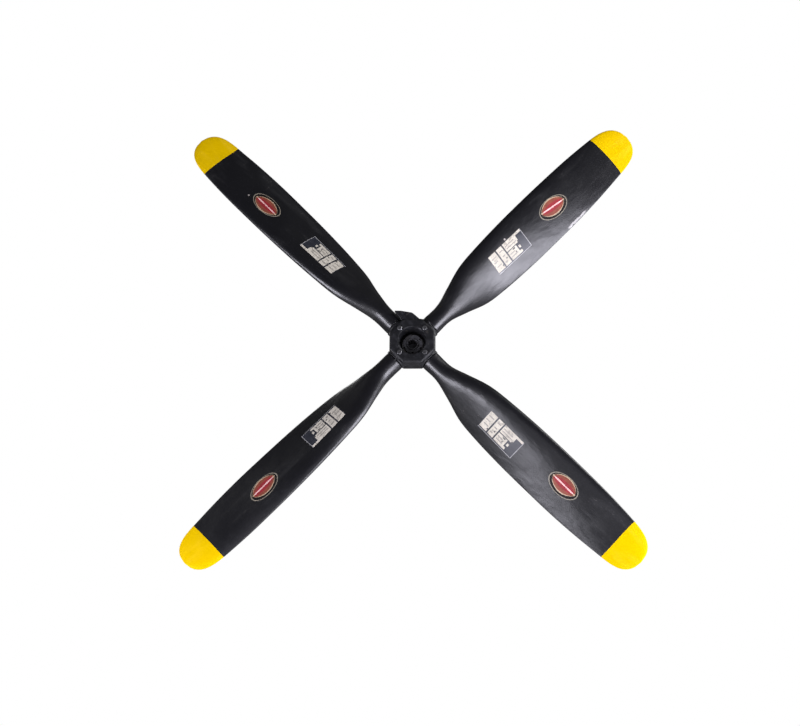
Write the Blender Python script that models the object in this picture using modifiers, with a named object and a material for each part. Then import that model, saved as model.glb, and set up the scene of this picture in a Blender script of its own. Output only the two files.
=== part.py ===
"""Four-blade wooden display propeller with a two-part hub, turning on a wall spindle.

The propeller is drawn lying on its back: the spin axis is the drawing's Z, with the wall
at z = 0 and the front of the hub at the top. An empty then stands it upright, so that in
the world the front faces -Y, +Z is up, and the origin is the centre of the wall face.
Each blade is drawn along its own pitch axis, its local Z: X points to the leading edge
and Y to the front.
"""

import math

import bmesh
import bpy
from mathutils import Matrix, Vector

MM = 0.001
GAP = 0.3 * MM  # between pieces that touch

# Driving dimensions of the propeller
RADIUS = 0.915
BLADES = 4
FIRST_BLADE = math.radians(45)  # from +X, anticlockwise seen from the front
SHANK_R = 30 * MM
PLANE_Z = 76 * MM  # the blades' pitch axes, in front of the wall

# Blade planform, as shares of RADIUS: station, chord, thickness, and how far mid-chord lies
# ahead of the pitch axis, towards the leading edge
STATIONS = (
    (0.080, 0.0656, 0.0656, 0.0),
    (0.140, 0.0656, 0.0656, 0.0),
    (0.200, 0.1050, 0.0580, -0.0010),
    (0.275, 0.1550, 0.0435, -0.0035),
    (0.350, 0.1720, 0.0360, -0.0032),
    (0.470, 0.1810, 0.0295, -0.0018),
    (0.590, 0.1810, 0.0245, -0.0004),
    (0.700, 0.1770, 0.0195, 0.0005),
    (0.800, 0.1680, 0.0150, 0.0021),
    (0.900, 0.1520, 0.0110, 0.0031),
    (1.000, 0.1350, 0.0070, 0.0015),
)
SECTIONS = (0.10, 0.14, 0.165, 0.19, 0.22, 0.255, 0.30, 0.36, 0.43, 0.51, 0.60, 0.69, 0.78, 0.86)
TIP_SECTIONS = (0.93, 0.955, 0.973, 0.986, 0.995, 0.9992)
SECTION_POINTS = 20
ROOT_TWIST = math.radians(35.0)  # blade angle at TWIST_START
TIP_TWIST = math.radians(10.8)
TWIST_START = 0.18
ROUND_UNTIL = 0.145  # the shank is round up to here, and a full aerofoil from AEROFOIL_FROM
AEROFOIL_FROM = 0.33
TIP_START = 0.85  # where the outline begins to close
TIP_POWER = 4.9
TIP_ROOT = 2.15
YELLOW_FROM = 0.90
CAMBER_SHARE = 0.5  # how much more the front bulges than the back
CAMBER_DROP = 0.4  # moves the bulged section back towards the pitch axis
EDGE = 1.4 * MM  # half the thickness left at the trailing edge

# Blade root
TENON_R = 16 * MM
ROOT_IN = 46 * MM  # distance of the root's inner end from the spin axis
COLLAR_OUT = 57 * MM
COLLAR_R = 27 * MM
NECK_R = 22 * MM
SHOULDER = 74 * MM  # where the visible shank begins
SHANK_CHAMFER = 1.6 * MM
PIN_R = 2.5 * MM
PIN_AT = 65 * MM

# Hub barrel: depths are in front of (+) or behind (-) the pitch axes
HUB_FLAT = 67 * MM
HUB_FRONT = 36 * MM
HUB_REAR = -42 * MM
FRONT_ROUND = 6 * MM
REAR_ROUND = 4 * MM
BOSS_R = 32 * MM
BOSS_OUT = 73 * MM
BOSS_CHAMFER = 1.5 * MM
REAR_BOSS_R = 40 * MM
REAR_BOSS_END = -56 * MM
RECESS_R = 38 * MM
RECESS_MOUTH_R = 42 * MM
RECESS_CONE = 8 * MM
RECESS_FLOOR = -24 * MM
LUG = (  # mm, from the front
    (-54, 92), (-35.5, 67.5), (-20, 56), (22, 56), (22, 66), (0, 85.5), (-34, 91.5)
)
LUG_BACK = 22 * MM
LUG_FRONT = 34 * MM
LUG_CHAMFER = 1.5 * MM
BUSH_R = 25 * MM
BUSH_FLANGE_R = 31 * MM
BUSH_FLANGE = 3 * MM
BUSH_LENGTH = 14 * MM

# Fasteners
BOLT_CIRCLE = 53 * MM
BOLT_R = 4 * MM
BOLT_HEAD_R = 6.5 * MM
BOLT_HEAD = 8 * MM
BOLT_TIP = 20 * MM
COUNTERBORE = 10 * MM
BOLT_SOCKET = 3 * MM  # half the width across the hexagon socket's flats
LOCK_AT = 52 * MM
LOCK_HEAD = 5.3 * MM
LOCK_FLATS = 6.5 * MM  # half the width across the head's flats
DOG_R = 2.8 * MM
SLOT_DEPTH = 3 * MM

# Spindle, nut and flange
JOURNAL_R = 19.7 * MM
THREAD_R = 17.7 * MM
SPINDLE_END = -1.5 * MM
SPINDLE_BORE_R = 13.5 * MM
SPINDLE_BORE_FLOOR = -50 * MM
SPINDLE_SHOULDER = 13.7 * MM  # its front face, from the wall
SHOULDER_R = 28 * MM
SHOULDER_THICK = 4 * MM
FLANGE_THICK = 9.4 * MM
NUT_R = 29 * MM
NUT_SLOTS = 6
FLANGE_R = 55 * MM
FLANGE_SCREWS = 4
FLANGE_SCREW_CIRCLE = 43 * MM

# Pitch travel of each blade in its socket
PITCH_FINE = math.radians(-8)
PITCH_COARSE = math.radians(16)

# Decals on the front of each blade, laid by hand, so they sit a little differently
DECAL_LIFT = 0.5 * MM  # clears the flats of the faceted blade
DECAL_THICK = 0.4 * MM
BADGE_HALF = (51 * MM, 30.5 * MM)
BADGE_PLACES = ((593, 3.5, -7), (616.5, 9.5, 0.5), (603, 8, 2), (609, 7, 1))  # mm, mm, degrees
DATA_HALF = (67.5 * MM, 32.5 * MM)
DATA_PLACES = ((401, 2, -2), (381, 7, -1.8), (358, 6, -0.8), (376, -7, -2.9))  # mm, mm, degrees

SMOOTH_ANGLE = math.radians(35)
ROUND = 28  # sides of a large round piece
SMALL = 12  # sides of a screw or its hole
FERRULE_SIDES = 24
FLANGE_SIDES = 42
BADGE_SIDES = 20


# ---------------------------------------------------------------- scene and objects


def clear_scene():
    for old in list(bpy.data.objects):
        bpy.data.objects.remove(old)


def new_collection(name):
    made = bpy.data.collections.new(name)
    bpy.context.scene.collection.children.link(made)
    return made


def paint(name, colour, roughness, metallic=0.0):
    made = bpy.data.materials.new(name)
    made.use_nodes = True
    surface = made.node_tree.nodes["Principled BSDF"]
    surface.inputs["Base Color"].default_value = (*colour, 1.0)
    surface.inputs["Roughness"].default_value = roughness
    surface.inputs["Metallic"].default_value = metallic
    return made


def add_empty(name, parent=None, matrix=None):
    made = bpy.data.objects.new(name, None)
    made.empty_display_size = 0.05
    PARTS.objects.link(made)
    made.parent = parent
    if matrix is not None:
        made.matrix_local = matrix
    return made


def add_object(name, mesh, parent=None):
    made = bpy.data.objects.new(name, mesh)
    PARTS.objects.link(made)
    made.parent = parent
    return made


def as_cutter(made):
    PARTS.objects.unlink(made)
    CUTTERS.objects.link(made)
    made.hide_render = True
    made.display_type = "WIRE"
    return made


def freeze(made, *materials):
    """Turns the object's modifiers into its mesh, smooth with sharp edges, and paints it."""
    bpy.context.view_layer.update()
    graph = bpy.context.evaluated_depsgraph_get()
    mesh = bpy.data.meshes.new_from_object(made.evaluated_get(graph))
    made.modifiers.clear()
    made.data = mesh
    mesh.name = made.name
    mesh.shade_smooth()
    mesh.set_sharp_from_angle(angle=SMOOTH_ANGLE)
    mesh.materials.clear()
    for material in materials:
        mesh.materials.append(material)
    return made


def take_mesh(made, name):
    """Keeps only the mesh of a finished object, for the copies to share."""
    mesh = made.data
    mesh.name = name
    bpy.data.objects.remove(made)
    return mesh


def combine(made, other, operation):
    boolean = made.modifiers.new(operation.lower(), "BOOLEAN")
    boolean.operation = operation
    boolean.solver = "EXACT"
    boolean.object = other


def use_manifold_solver(made):
    """For the hub halves, where the exact solver leaves hair cracks at the sockets."""
    for modifier in made.modifiers:
        if modifier.type == "BOOLEAN":
            modifier.solver = "MANIFOLD"


def cut(made, *cutters):
    for cutter in cutters:
        combine(made, cutter, "DIFFERENCE")


def join(made, *others):
    for other in others:
        combine(made, other, "UNION")


# ---------------------------------------------------------------- basic shapes


def turned(name, profile, steps, parent=None, phase=0.0):
    """A turned solid about Z from (radius, z) points: across the top outwards, down the
    outside, and back in. A profile that starts on the axis is open and merges there."""
    on_axis = profile[0][0] == 0
    mesh = bpy.data.meshes.new(name)
    count = len(profile)
    edges = [(i, i + 1) for i in range(count - 1)]
    if not on_axis:
        edges.append((count - 1, 0))
    start = Matrix.Rotation(phase, 3, "Z")
    mesh.from_pydata([start @ Vector((r, 0, z)) for r, z in profile], edges, [])
    made = add_object(name, mesh, parent)
    screw = made.modifiers.new("turn", "SCREW")
    screw.steps = steps
    screw.render_steps = steps
    screw.use_merge_vertices = on_axis
    screw.merge_threshold = 0.0001
    return made


def rod(name, radius, low, high, steps, parent=None):
    return turned(name, ((0, high), (radius, high), (radius, low), (0, low)), steps, parent)


def ring(name, inner, outer, low, high, steps, parent=None):
    return turned(name, ((inner, high), (outer, high), (outer, low), (inner, low)), steps, parent)


def box(name, low, high, parent=None):
    mesh = bpy.data.meshes.new(name)
    shape = bmesh.new()
    bmesh.ops.create_cube(shape, size=1.0)
    low = Vector(low)
    size = Vector(high) - low
    for vertex in shape.verts:
        corner = vertex.co + Vector((0.5, 0.5, 0.5))
        vertex.co = low + Vector(c * s for c, s in zip(corner, size))
    shape.to_mesh(mesh)
    shape.free()
    return add_object(name, mesh, parent)


def flats_radius(flat, sides):
    """Corner radius of a polygon with this distance from its centre to its flats."""
    return flat / math.cos(math.pi / sides)


def around(count, radius, first=0.0):
    """Points evenly spaced round the spin axis, as (number, angle, x, y)."""
    for i in range(count):
        angle = first + i * math.tau / count
        yield i + 1, angle, radius * math.cos(angle), radius * math.sin(angle)


def blade_matrix(angle):
    """From a blade's own axes to the drawing's: its Z is radial and its Y faces forward."""
    radial = Vector((math.cos(angle), math.sin(angle), 0))
    leading = Vector((-math.sin(angle), math.cos(angle), 0))
    turn = Matrix((leading, Vector((0, 0, 1)), radial)).transposed()
    return Matrix.Translation((0, 0, PLANE_Z)) @ turn.to_4x4()


# ---------------------------------------------------------------- blade surface


def smoothstep(x, start, end):
    t = min(max((x - start) / (end - start), 0.0), 1.0)
    return t * t * (3 - 2 * t)


def station_values(share):
    """Chord, thickness and sweep at this share of the radius: a smooth curve through STATIONS."""
    rows = STATIONS
    i = max(k for k in range(len(rows) - 1) if rows[k][0] <= share or k == 0)
    before = rows[max(i - 1, 0)]
    after = rows[min(i + 2, len(rows) - 1)]
    (x0, *start), (x1, *end) = rows[i], rows[i + 1]
    t = (share - x0) / (x1 - x0)
    values = []
    for a, b, c, d in zip(before[1:], start, end, after[1:]):
        slope_in = (c - a) / (x1 - before[0]) * (x1 - x0)
        slope_out = (d - b) / (after[0] - x0) * (x1 - x0)
        rise = (2 * t**3 - 3 * t**2 + 1) * b + (3 * t**2 - 2 * t**3) * c
        bend = (t**3 - 2 * t**2 + t) * slope_in + (t**3 - t**2) * slope_out
        values.append((rise + bend) * RADIUS)
    return values


def chord_at(share):
    closing = max((share - TIP_START) / (1 - TIP_START), 0.0)
    return station_values(share)[0] * max(1 - closing**TIP_POWER, 0.0) ** (1 / TIP_ROOT)


def thickness_at(share):
    thickness = station_values(share)[1]
    return thickness * min(1.0, (chord_at(share) / station_values(share)[0] + 0.15))


def sweep_at(share):
    return station_values(share)[2]


def twist_at(share):
    along = (share - TWIST_START) / (1 - TWIST_START)
    return ROOT_TWIST + (TIP_TWIST - ROOT_TWIST) * max(along, 0.0)


def half_thickness(angle, thickness, roundness):
    """Half the section's thickness: angle 0 is the leading edge and pi the trailing edge."""
    sine = abs(math.sin(angle))
    x = (1 - math.cos(angle)) / 2
    curve = 0.2969 * math.sqrt(x) - 0.126 * x - 0.3516 * x**2 + 0.2843 * x**3 - 0.1036 * x**4
    aerofoil = 5 * thickness * curve + EDGE * x * sine**0.35
    return roundness * thickness / 2 * sine + (1 - roundness) * aerofoil


def surface_point(radius, angle):
    """A point of the blade's surface, in the blade's own axes."""
    share = radius / RADIUS
    thickness = thickness_at(share)
    roundness = 1 - smoothstep(share, ROUND_UNTIL, AEROFOIL_FROM)
    bulge = CAMBER_SHARE * (1 - roundness)
    half = half_thickness(angle, thickness, roundness)
    side = 1 + bulge if math.sin(angle) >= 0 else -(1 - bulge)
    x = chord_at(share) / 2 * math.cos(angle) + sweep_at(share)
    y = half * side - bulge * thickness * CAMBER_DROP
    twist = twist_at(share)
    return Vector(
        (
            x * math.cos(twist) - y * math.sin(twist),
            x * math.sin(twist) + y * math.cos(twist),
            radius,
        )
    )


def circle_section(radius, z):
    angles = (i * math.tau / SECTION_POINTS for i in range(SECTION_POINTS))
    return [Vector((radius * math.cos(a), radius * math.sin(a), z)) for a in angles]


def blade_sections():
    """The rings of the loft, from the tenon's inner end to the tip."""
    rings = [
        circle_section(TENON_R, ROOT_IN + GAP),
        circle_section(TENON_R, SHOULDER),
        circle_section(SHANK_R - SHANK_CHAMFER, SHOULDER),
        circle_section(SHANK_R, SHOULDER + SHANK_CHAMFER),
    ]
    for share in (*SECTIONS, YELLOW_FROM, *TIP_SECTIONS):
        angles = (i * math.tau / SECTION_POINTS for i in range(SECTION_POINTS))
        rings.append([surface_point(share * RADIUS, a) for a in angles])
    return rings


def loft(mesh, rings):
    """A closed skin over rings of equal length, capped at both ends."""
    shape = bmesh.new()
    rows = [[shape.verts.new(point) for point in points] for points in rings]
    for low, high in zip(rows, rows[1:]):
        for i in range(len(low)):
            j = (i + 1) % len(low)
            shape.faces.new((low[i], low[j], high[j], high[i]))
    shape.faces.new(reversed(rows[0]))
    shape.faces.new(rows[-1])
    bmesh.ops.recalc_face_normals(shape, faces=shape.faces)
    shape.to_mesh(mesh)
    shape.free()


def paint_tip(mesh):
    """Gives the faces outboard of the paint line the second material."""
    for face in mesh.polygons:
        if face.center.z > YELLOW_FROM * RADIUS:
            face.material_index = 1


# ---------------------------------------------------------------- decals


def front_point(radius, across, lift):
    """A point above the blade's front surface, this far across from mid-chord."""
    half_chord = chord_at(radius / RADIUS) / 2
    angle = math.acos(max(-1.0, min(1.0, across / half_chord)))
    step = 0.01
    here = surface_point(radius, angle)
    along = surface_point(radius + step * 0.1, angle) - here
    over = surface_point(radius, angle + step) - here
    return here + over.cross(along).normalized() * lift


def decal_mesh(name, outline, closed):
    """A thin plate that follows the blade, from rows of (along, across) points. The rows of
    a closed plate are rings round its middle."""
    shape = bmesh.new()
    layers = []
    for lift in (DECAL_LIFT, DECAL_LIFT + DECAL_THICK):
        lifted = [[front_point(along, across, lift) for along, across in row] for row in outline]
        layers.append([[shape.verts.new(point) for point in row] for row in lifted])
    for rows in layers:
        for low, high in zip(rows, rows[1:]):
            last = len(low) if closed else len(low) - 1
            for i in range(last):
                j = (i + 1) % len(low)
                shape.faces.new((low[i], low[j], high[j], high[i]))
        if closed:
            shape.faces.new(rows[0])
    for (a, b), (c, d) in zip(rim_of(layers[0], closed), rim_of(layers[1], closed)):
        shape.faces.new((a, b, d, c))
    bmesh.ops.recalc_face_normals(shape, faces=shape.faces)
    mesh = bpy.data.meshes.new(name)
    shape.to_mesh(mesh)
    shape.free()
    return mesh


def rim_of(rows, closed):
    """The vertex pairs along the edge of a layer."""
    if closed:
        rim = rows[-1]
    else:
        right = [row[-1] for row in rows[1:-1]]
        left = [row[0] for row in rows[-2:0:-1]]
        rim = [*rows[0], *right, *reversed(rows[-1]), *left]
    return [(rim[i], rim[(i + 1) % len(rim)]) for i in range(len(rim))]


def laid(u, v, place):
    """A decal's point as along and across the blade. A place is the decal's middle, along
    and across, and its turn towards the leading edge."""
    along, across, degrees = place
    turn = math.radians(degrees)
    outboard = along * MM + u * math.cos(turn) - v * math.sin(turn)
    return outboard, across * MM + u * math.sin(turn) + v * math.cos(turn)


def badge_rows(place):
    half_long, half_wide = BADGE_HALF
    angles = [i * math.tau / BADGE_SIDES for i in range(BADGE_SIDES)]
    rim = [(half_long * math.cos(a), half_wide * math.sin(a)) for a in angles]
    return [[laid(share * x, share * y, place) for x, y in rim] for share in (0.3, 0.65, 1.0)]


def data_rows(place):
    half_long, half_wide = DATA_HALF
    columns, lines = 8, 4
    rows = []
    for i in range(columns + 1):
        u = half_long * (2 * i / columns - 1)
        v = [half_wide * (2 * j / lines - 1) for j in range(lines + 1)]
        rows.append([laid(u, value, place) for value in v])
    return rows


# ---------------------------------------------------------------- blade assembly


def pin_hole():
    """A hole along X through the tenon and the ferrule's neck."""
    made = as_cutter(rod("pin_hole", PIN_R + GAP, -1.5 * NECK_R, 1.5 * NECK_R, SMALL))
    made.matrix_local = Matrix.Translation((0, 0, PIN_AT)) @ Matrix.Rotation(math.pi / 2, 4, "Y")
    return made


def slot_cutter():
    """The arc slot in the collar that the lock screw's dog point runs in."""
    floor = COLLAR_R - SLOT_DEPTH
    outside = COLLAR_R + 2 * MM
    near = LOCK_AT - DOG_R - GAP
    far = LOCK_AT + DOG_R + GAP
    reach = math.asin((DOG_R + GAP) / floor) + math.radians(1)
    start = math.pi / 2 - PITCH_COARSE - reach
    end = math.pi / 2 - PITCH_FINE + reach
    steps = 8
    rings = []
    for i in range(steps + 1):
        angle = start + (end - start) * i / steps
        corners = ((floor, near), (outside, near), (outside, far), (floor, far))
        rings.append([Vector((r * math.cos(angle), r * math.sin(angle), z)) for r, z in corners])
    mesh = bpy.data.meshes.new("slot_cutter")
    loft(mesh, rings)
    return as_cutter(add_object("slot_cutter", mesh))


def blade_mesh(hole):
    mesh = bpy.data.meshes.new("blade")
    loft(mesh, blade_sections())
    made = add_object("blade_blank", mesh)
    cut(made, hole)
    freeze(made, BLACK_WOOD, YELLOW)
    paint_tip(made.data)
    return take_mesh(made, "blade")


def ferrule_mesh(hole):
    profile = (
        (TENON_R + GAP, SHOULDER - GAP),
        (NECK_R, SHOULDER - GAP),
        (NECK_R, COLLAR_OUT),
        (COLLAR_R, COLLAR_OUT),
        (COLLAR_R, ROOT_IN),
        (TENON_R + GAP, ROOT_IN),
    )
    made = turned("ferrule_blank", profile, FERRULE_SIDES)
    cut(made, hole, slot_cutter())
    freeze(made, STEEL)
    return take_mesh(made, "root_ferrule")


def pin_mesh():
    made = rod("pin_blank", PIN_R, -NECK_R + MM, NECK_R - MM, SMALL)
    freeze(made, STEEL)
    return take_mesh(made, "root_pin")


def build_blades(hub):
    hole = pin_hole()
    blade = blade_mesh(hole)
    ferrule = ferrule_mesh(hole)
    pin = pin_mesh()
    for number, angle, _, _ in around(BLADES, 0, FIRST_BLADE):
        axis = add_empty(f"blade_{number}_pitch_axis", hub, blade_matrix(angle))
        add_object(f"blade_{number}", blade, axis)
        add_object(f"root_ferrule_{number}", ferrule, axis)
        across = add_object(f"root_pin_{number}", pin, axis)
        across.matrix_local = hole.matrix_local.copy()
        badge = decal_mesh("badge_decal", badge_rows(BADGE_PLACES[number - 1]), True)
        badge.materials.append(BADGE_RED)
        add_object(f"badge_decal_{number}", badge, axis)
        data = decal_mesh("data_decal", data_rows(DATA_PLACES[number - 1]), False)
        data.materials.append(CREAM)
        add_object(f"data_decal_{number}", data, axis)


# ---------------------------------------------------------------- hub


def arc(centre_r, centre_z, radius, start, end, count):
    """Points along an arc in a turned profile, angles in degrees from the outward side."""
    points = []
    for i in range(count + 1):
        angle = math.radians(start + (end - start) * i / count)
        points.append((centre_r + radius * math.cos(angle), centre_z + radius * math.sin(angle)))
    return points


def barrel_blank(name, hub):
    """The barrel before it is split: an octagonal block, a boss round each blade socket,
    and the boss behind that holds the bushes."""
    front = PLANE_Z + HUB_FRONT
    rear = PLANE_Z + HUB_REAR
    corner = flats_radius(HUB_FLAT, 8)
    profile = [(0, front), (corner - FRONT_ROUND, front)]
    profile += arc(corner - FRONT_ROUND, front - FRONT_ROUND, FRONT_ROUND, 60, 0, 3)
    profile += arc(corner - REAR_ROUND, rear + REAR_ROUND, REAR_ROUND, 0, -90, 3)
    profile.append((0, rear))
    blank = turned(name, profile, 8, hub, math.pi / 8)
    rear_boss = (
        (0, rear + 10 * MM),
        (REAR_BOSS_R, rear + 10 * MM),
        (REAR_BOSS_R, PLANE_Z + REAR_BOSS_END + 2 * MM),
        (REAR_BOSS_R - 2 * MM, PLANE_Z + REAR_BOSS_END),
        (0, PLANE_Z + REAR_BOSS_END),
    )
    join(blank, as_cutter(turned(name + "_rear_boss", rear_boss, ROUND, hub)))
    for number, angle, _, _ in around(BLADES, 0, FIRST_BLADE):
        boss_profile = (
            (0, BOSS_OUT),
            (BOSS_R - BOSS_CHAMFER, BOSS_OUT),
            (BOSS_R, BOSS_OUT - BOSS_CHAMFER),
            (BOSS_R, COLLAR_OUT - 8 * MM),
            (0, COLLAR_OUT - 8 * MM),
        )
        boss = as_cutter(turned(f"{name}_boss_{number}", boss_profile, ROUND, hub))
        boss.matrix_local = blade_matrix(angle)
        join(blank, boss)
    return blank


def top_lug(hub):
    """A cast lug on the front half that overhangs the shank of the second blade."""
    corners = [Vector((x * MM, y * MM, 0)) for x, y in LUG]
    middle = sum(corners, Vector()) / len(corners)
    layers = (
        (LUG_BACK, 0.0),
        (LUG_FRONT - LUG_CHAMFER, 0.0),
        (LUG_FRONT, LUG_CHAMFER),
    )
    rings = []
    for depth, inset in layers:
        height = Vector((0, 0, PLANE_Z + depth))
        rings.append([c + (middle - c).normalized() * inset + height for c in corners])
    mesh = bpy.data.meshes.new("top_lug")
    loft(mesh, rings)
    return as_cutter(add_object("top_lug", mesh, hub))


def bore_cutter(hub):
    """The front recess with its conical mouth, and the bore for the bushes behind it."""
    front = PLANE_Z + HUB_FRONT
    floor = PLANE_Z + RECESS_FLOOR
    profile = (
        (0, front + 8 * MM),
        (RECESS_MOUTH_R, front + 8 * MM),
        (RECESS_MOUTH_R, front),
        (RECESS_R, front - RECESS_CONE),
        (RECESS_R, floor),
        (BUSH_R, floor),
        (BUSH_R, PLANE_Z + REAR_BOSS_END - 8 * MM),
        (0, PLANE_Z + REAR_BOSS_END - 8 * MM),
    )
    return as_cutter(turned("bore_cutter", profile, ROUND, hub))


def socket_cutters(hub):
    """Each blade's socket: a wide pocket for the collar and a narrower hole for the neck."""
    room = 0.4 * MM
    profile = (
        (0, BOSS_OUT + 8 * MM),
        (NECK_R + room, BOSS_OUT + 8 * MM),
        (NECK_R + room, COLLAR_OUT + GAP),
        (COLLAR_R + room, COLLAR_OUT + GAP),
        (COLLAR_R + room, ROOT_IN - GAP),
        (0, ROOT_IN - GAP),
    )
    made = []
    for number, angle, _, _ in around(BLADES, 0, FIRST_BLADE):
        socket = as_cutter(turned(f"socket_cutter_{number}", profile, ROUND, hub))
        socket.matrix_local = blade_matrix(angle)
        made.append(socket)
    return made


def bolt_cutters(hub):
    rear = PLANE_Z + HUB_REAR
    profile = (
        (0, PLANE_Z + BOLT_TIP + 2 * MM),
        (BOLT_R + GAP, PLANE_Z + BOLT_TIP + 2 * MM),
        (BOLT_R + GAP, rear + COUNTERBORE),
        (BOLT_HEAD_R + 0.8 * MM, rear + COUNTERBORE),
        (BOLT_HEAD_R + 0.8 * MM, rear - 8 * MM),
        (0, rear - 8 * MM),
    )
    return placed_cutters("bolt_cutter", profile, BOLT_CIRCLE, 0.0, hub)


def lock_cutters(hub):
    front = PLANE_Z + HUB_FRONT
    profile = (
        (0, front + 8 * MM),
        (BOLT_R + GAP, front + 8 * MM),
        (BOLT_R + GAP, PLANE_Z + COLLAR_R - 3 * MM),
        (0, PLANE_Z + COLLAR_R - 3 * MM),
    )
    return placed_cutters("lock_cutter", profile, LOCK_AT, FIRST_BLADE, hub)


def placed_cutters(name, profile, circle, first, hub):
    made = []
    for number, _, x, y in around(BLADES, circle, first):
        hole = as_cutter(turned(f"{name}_{number}", profile, SMALL, hub))
        hole.location = (x, y, 0)
        made.append(hole)
    return made


def split_cutter(name, front, hub):
    """A block that removes everything in front of, or behind, the split plane."""
    reach = 3 * HUB_FLAT
    low = PLANE_Z - GAP / 2 if front else -reach
    high = reach if front else PLANE_Z + GAP / 2
    return as_cutter(box(name, (-reach, -reach, low), (reach, reach, high), hub))


def build_hub(hub):
    bore = bore_cutter(hub)
    sockets = socket_cutters(hub)
    bolts = bolt_cutters(hub)
    locks = lock_cutters(hub)
    front_half = barrel_blank("hub_front_half", hub)
    join(front_half, top_lug(hub))
    cut(front_half, bore, *sockets, *bolts, *locks, split_cutter("remove_rear", False, hub))
    use_manifold_solver(front_half)
    freeze(front_half, BLACK_METAL)
    rear_half = barrel_blank("hub_rear_half", hub)
    cut(rear_half, bore, *sockets, *bolts, split_cutter("remove_front", True, hub))
    use_manifold_solver(rear_half)
    freeze(rear_half, BLACK_METAL)


def build_bushes(hub):
    floor = PLANE_Z + RECESS_FLOOR
    rear = PLANE_Z + REAR_BOSS_END
    inner = JOURNAL_R + GAP
    front_profile = (
        (inner, floor + GAP + BUSH_FLANGE),
        (BUSH_FLANGE_R, floor + GAP + BUSH_FLANGE),
        (BUSH_FLANGE_R, floor + GAP),
        (BUSH_R - GAP, floor + GAP),
        (BUSH_R - GAP, floor - BUSH_LENGTH),
        (inner, floor - BUSH_LENGTH),
    )
    freeze(turned("front_bush", front_profile, ROUND, hub), BRONZE)
    rear_profile = (
        (inner, rear + BUSH_LENGTH),
        (BUSH_R - GAP, rear + BUSH_LENGTH),
        (BUSH_R - GAP, rear - GAP),
        (BUSH_FLANGE_R, rear - GAP),
        (BUSH_FLANGE_R, rear - GAP - BUSH_FLANGE),
        (inner, rear - GAP - BUSH_FLANGE),
    )
    freeze(turned("rear_bush", rear_profile, ROUND, hub), BRONZE)


# ---------------------------------------------------------------- fasteners


def build_hub_bolts(hub):
    seat = PLANE_Z + HUB_REAR + COUNTERBORE
    washer = 1.6 * MM
    head_top = seat - GAP - washer - GAP
    chamfer = 0.8 * MM
    profile = (
        (0, PLANE_Z + BOLT_TIP),
        (BOLT_R - chamfer, PLANE_Z + BOLT_TIP),
        (BOLT_R, PLANE_Z + BOLT_TIP - chamfer),
        (BOLT_R, head_top),
        (BOLT_HEAD_R, head_top),
        (BOLT_HEAD_R, head_top - BOLT_HEAD + chamfer),
        (BOLT_HEAD_R - chamfer, head_top - BOLT_HEAD),
        (0, head_top - BOLT_HEAD),
    )
    bolt = turned("bolt_blank", profile, SMALL)
    socket_r = flats_radius(BOLT_SOCKET, 6)
    floor = head_top - BOLT_HEAD
    socket = as_cutter(rod("bolt_socket", socket_r, floor - 5 * MM, floor + 4 * MM, 6))
    cut(bolt, socket)
    bolt_shape = take_mesh(freeze(bolt, STEEL), "hub_bolt")
    washer_blank = ring(
        "washer_blank", BOLT_R + GAP, BOLT_HEAD_R + GAP, seat - GAP - washer, seat - GAP, SMALL
    )
    washer_shape = take_mesh(freeze(washer_blank, STEEL), "bolt_washer")
    for number, _, x, y in around(BLADES, BOLT_CIRCLE):
        add_object(f"hub_bolt_{number}", bolt_shape, hub).location = (x, y, 0)
        add_object(f"bolt_washer_{number}", washer_shape, hub).location = (x, y, 0)


def build_lock_screws(hub):
    """Hexagon screws whose dog points run in the slots of the ferrules' collars."""
    seat = PLANE_Z + HUB_FRONT + GAP
    dog = 5 * MM
    tip = PLANE_Z + COLLAR_R - SLOT_DEPTH + GAP
    profile = (
        (0, seat + 2 * MM),
        (BOLT_R, seat + 2 * MM),
        (BOLT_R, tip + dog),
        (DOG_R, tip + dog - MM),
        (DOG_R, tip),
        (0, tip),
    )
    screw = turned("lock_blank", profile, SMALL)
    corner = flats_radius(LOCK_FLATS, 6)
    head_profile = (
        (0, seat + LOCK_HEAD),
        (corner - 1.2 * MM, seat + LOCK_HEAD),
        (corner, seat + LOCK_HEAD - 0.8 * MM),
        (corner, seat),
        (0, seat),
    )
    join(screw, as_cutter(turned("lock_head", head_profile, 6)))
    shape = take_mesh(freeze(screw, STEEL), "blade_lock_screw")
    for number, angle, x, y in around(BLADES, LOCK_AT, FIRST_BLADE):
        made = add_object(f"blade_lock_screw_{number}", shape, hub)
        made.location = (x, y, 0)
        made.rotation_euler.z = angle


# ---------------------------------------------------------------- spindle side


def build_spindle(stand):
    end = PLANE_Z + SPINDLE_END
    floor = PLANE_Z + RECESS_FLOOR
    step = floor + 3.45 * MM
    shoulder = SPINDLE_SHOULDER
    profile = (
        (0, PLANE_Z + SPINDLE_BORE_FLOOR),
        (SPINDLE_BORE_R, PLANE_Z + SPINDLE_BORE_FLOOR),
        (SPINDLE_BORE_R, end - 1.5 * MM),
        (SPINDLE_BORE_R + 1.5 * MM, end),
        (THREAD_R - MM, end),
        (THREAD_R, end - MM),
        (THREAD_R, step),
        (JOURNAL_R, step),
        (JOURNAL_R, shoulder),
        (SHOULDER_R, shoulder),
        (SHOULDER_R, shoulder - SHOULDER_THICK),
        (JOURNAL_R, shoulder - SHOULDER_THICK),
        (JOURNAL_R, 0),
        (0, 0),
    )
    spindle = turned("spindle", profile, ROUND, stand)
    keyway = box(
        "keyway_cutter",
        (-2.6 * MM, THREAD_R - 2.4 * MM, step - MM),
        (2.6 * MM, THREAD_R + 2 * MM, end + 2 * MM),
        stand,
    )
    cut(spindle, as_cutter(keyway))
    freeze(spindle, STEEL)


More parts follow.
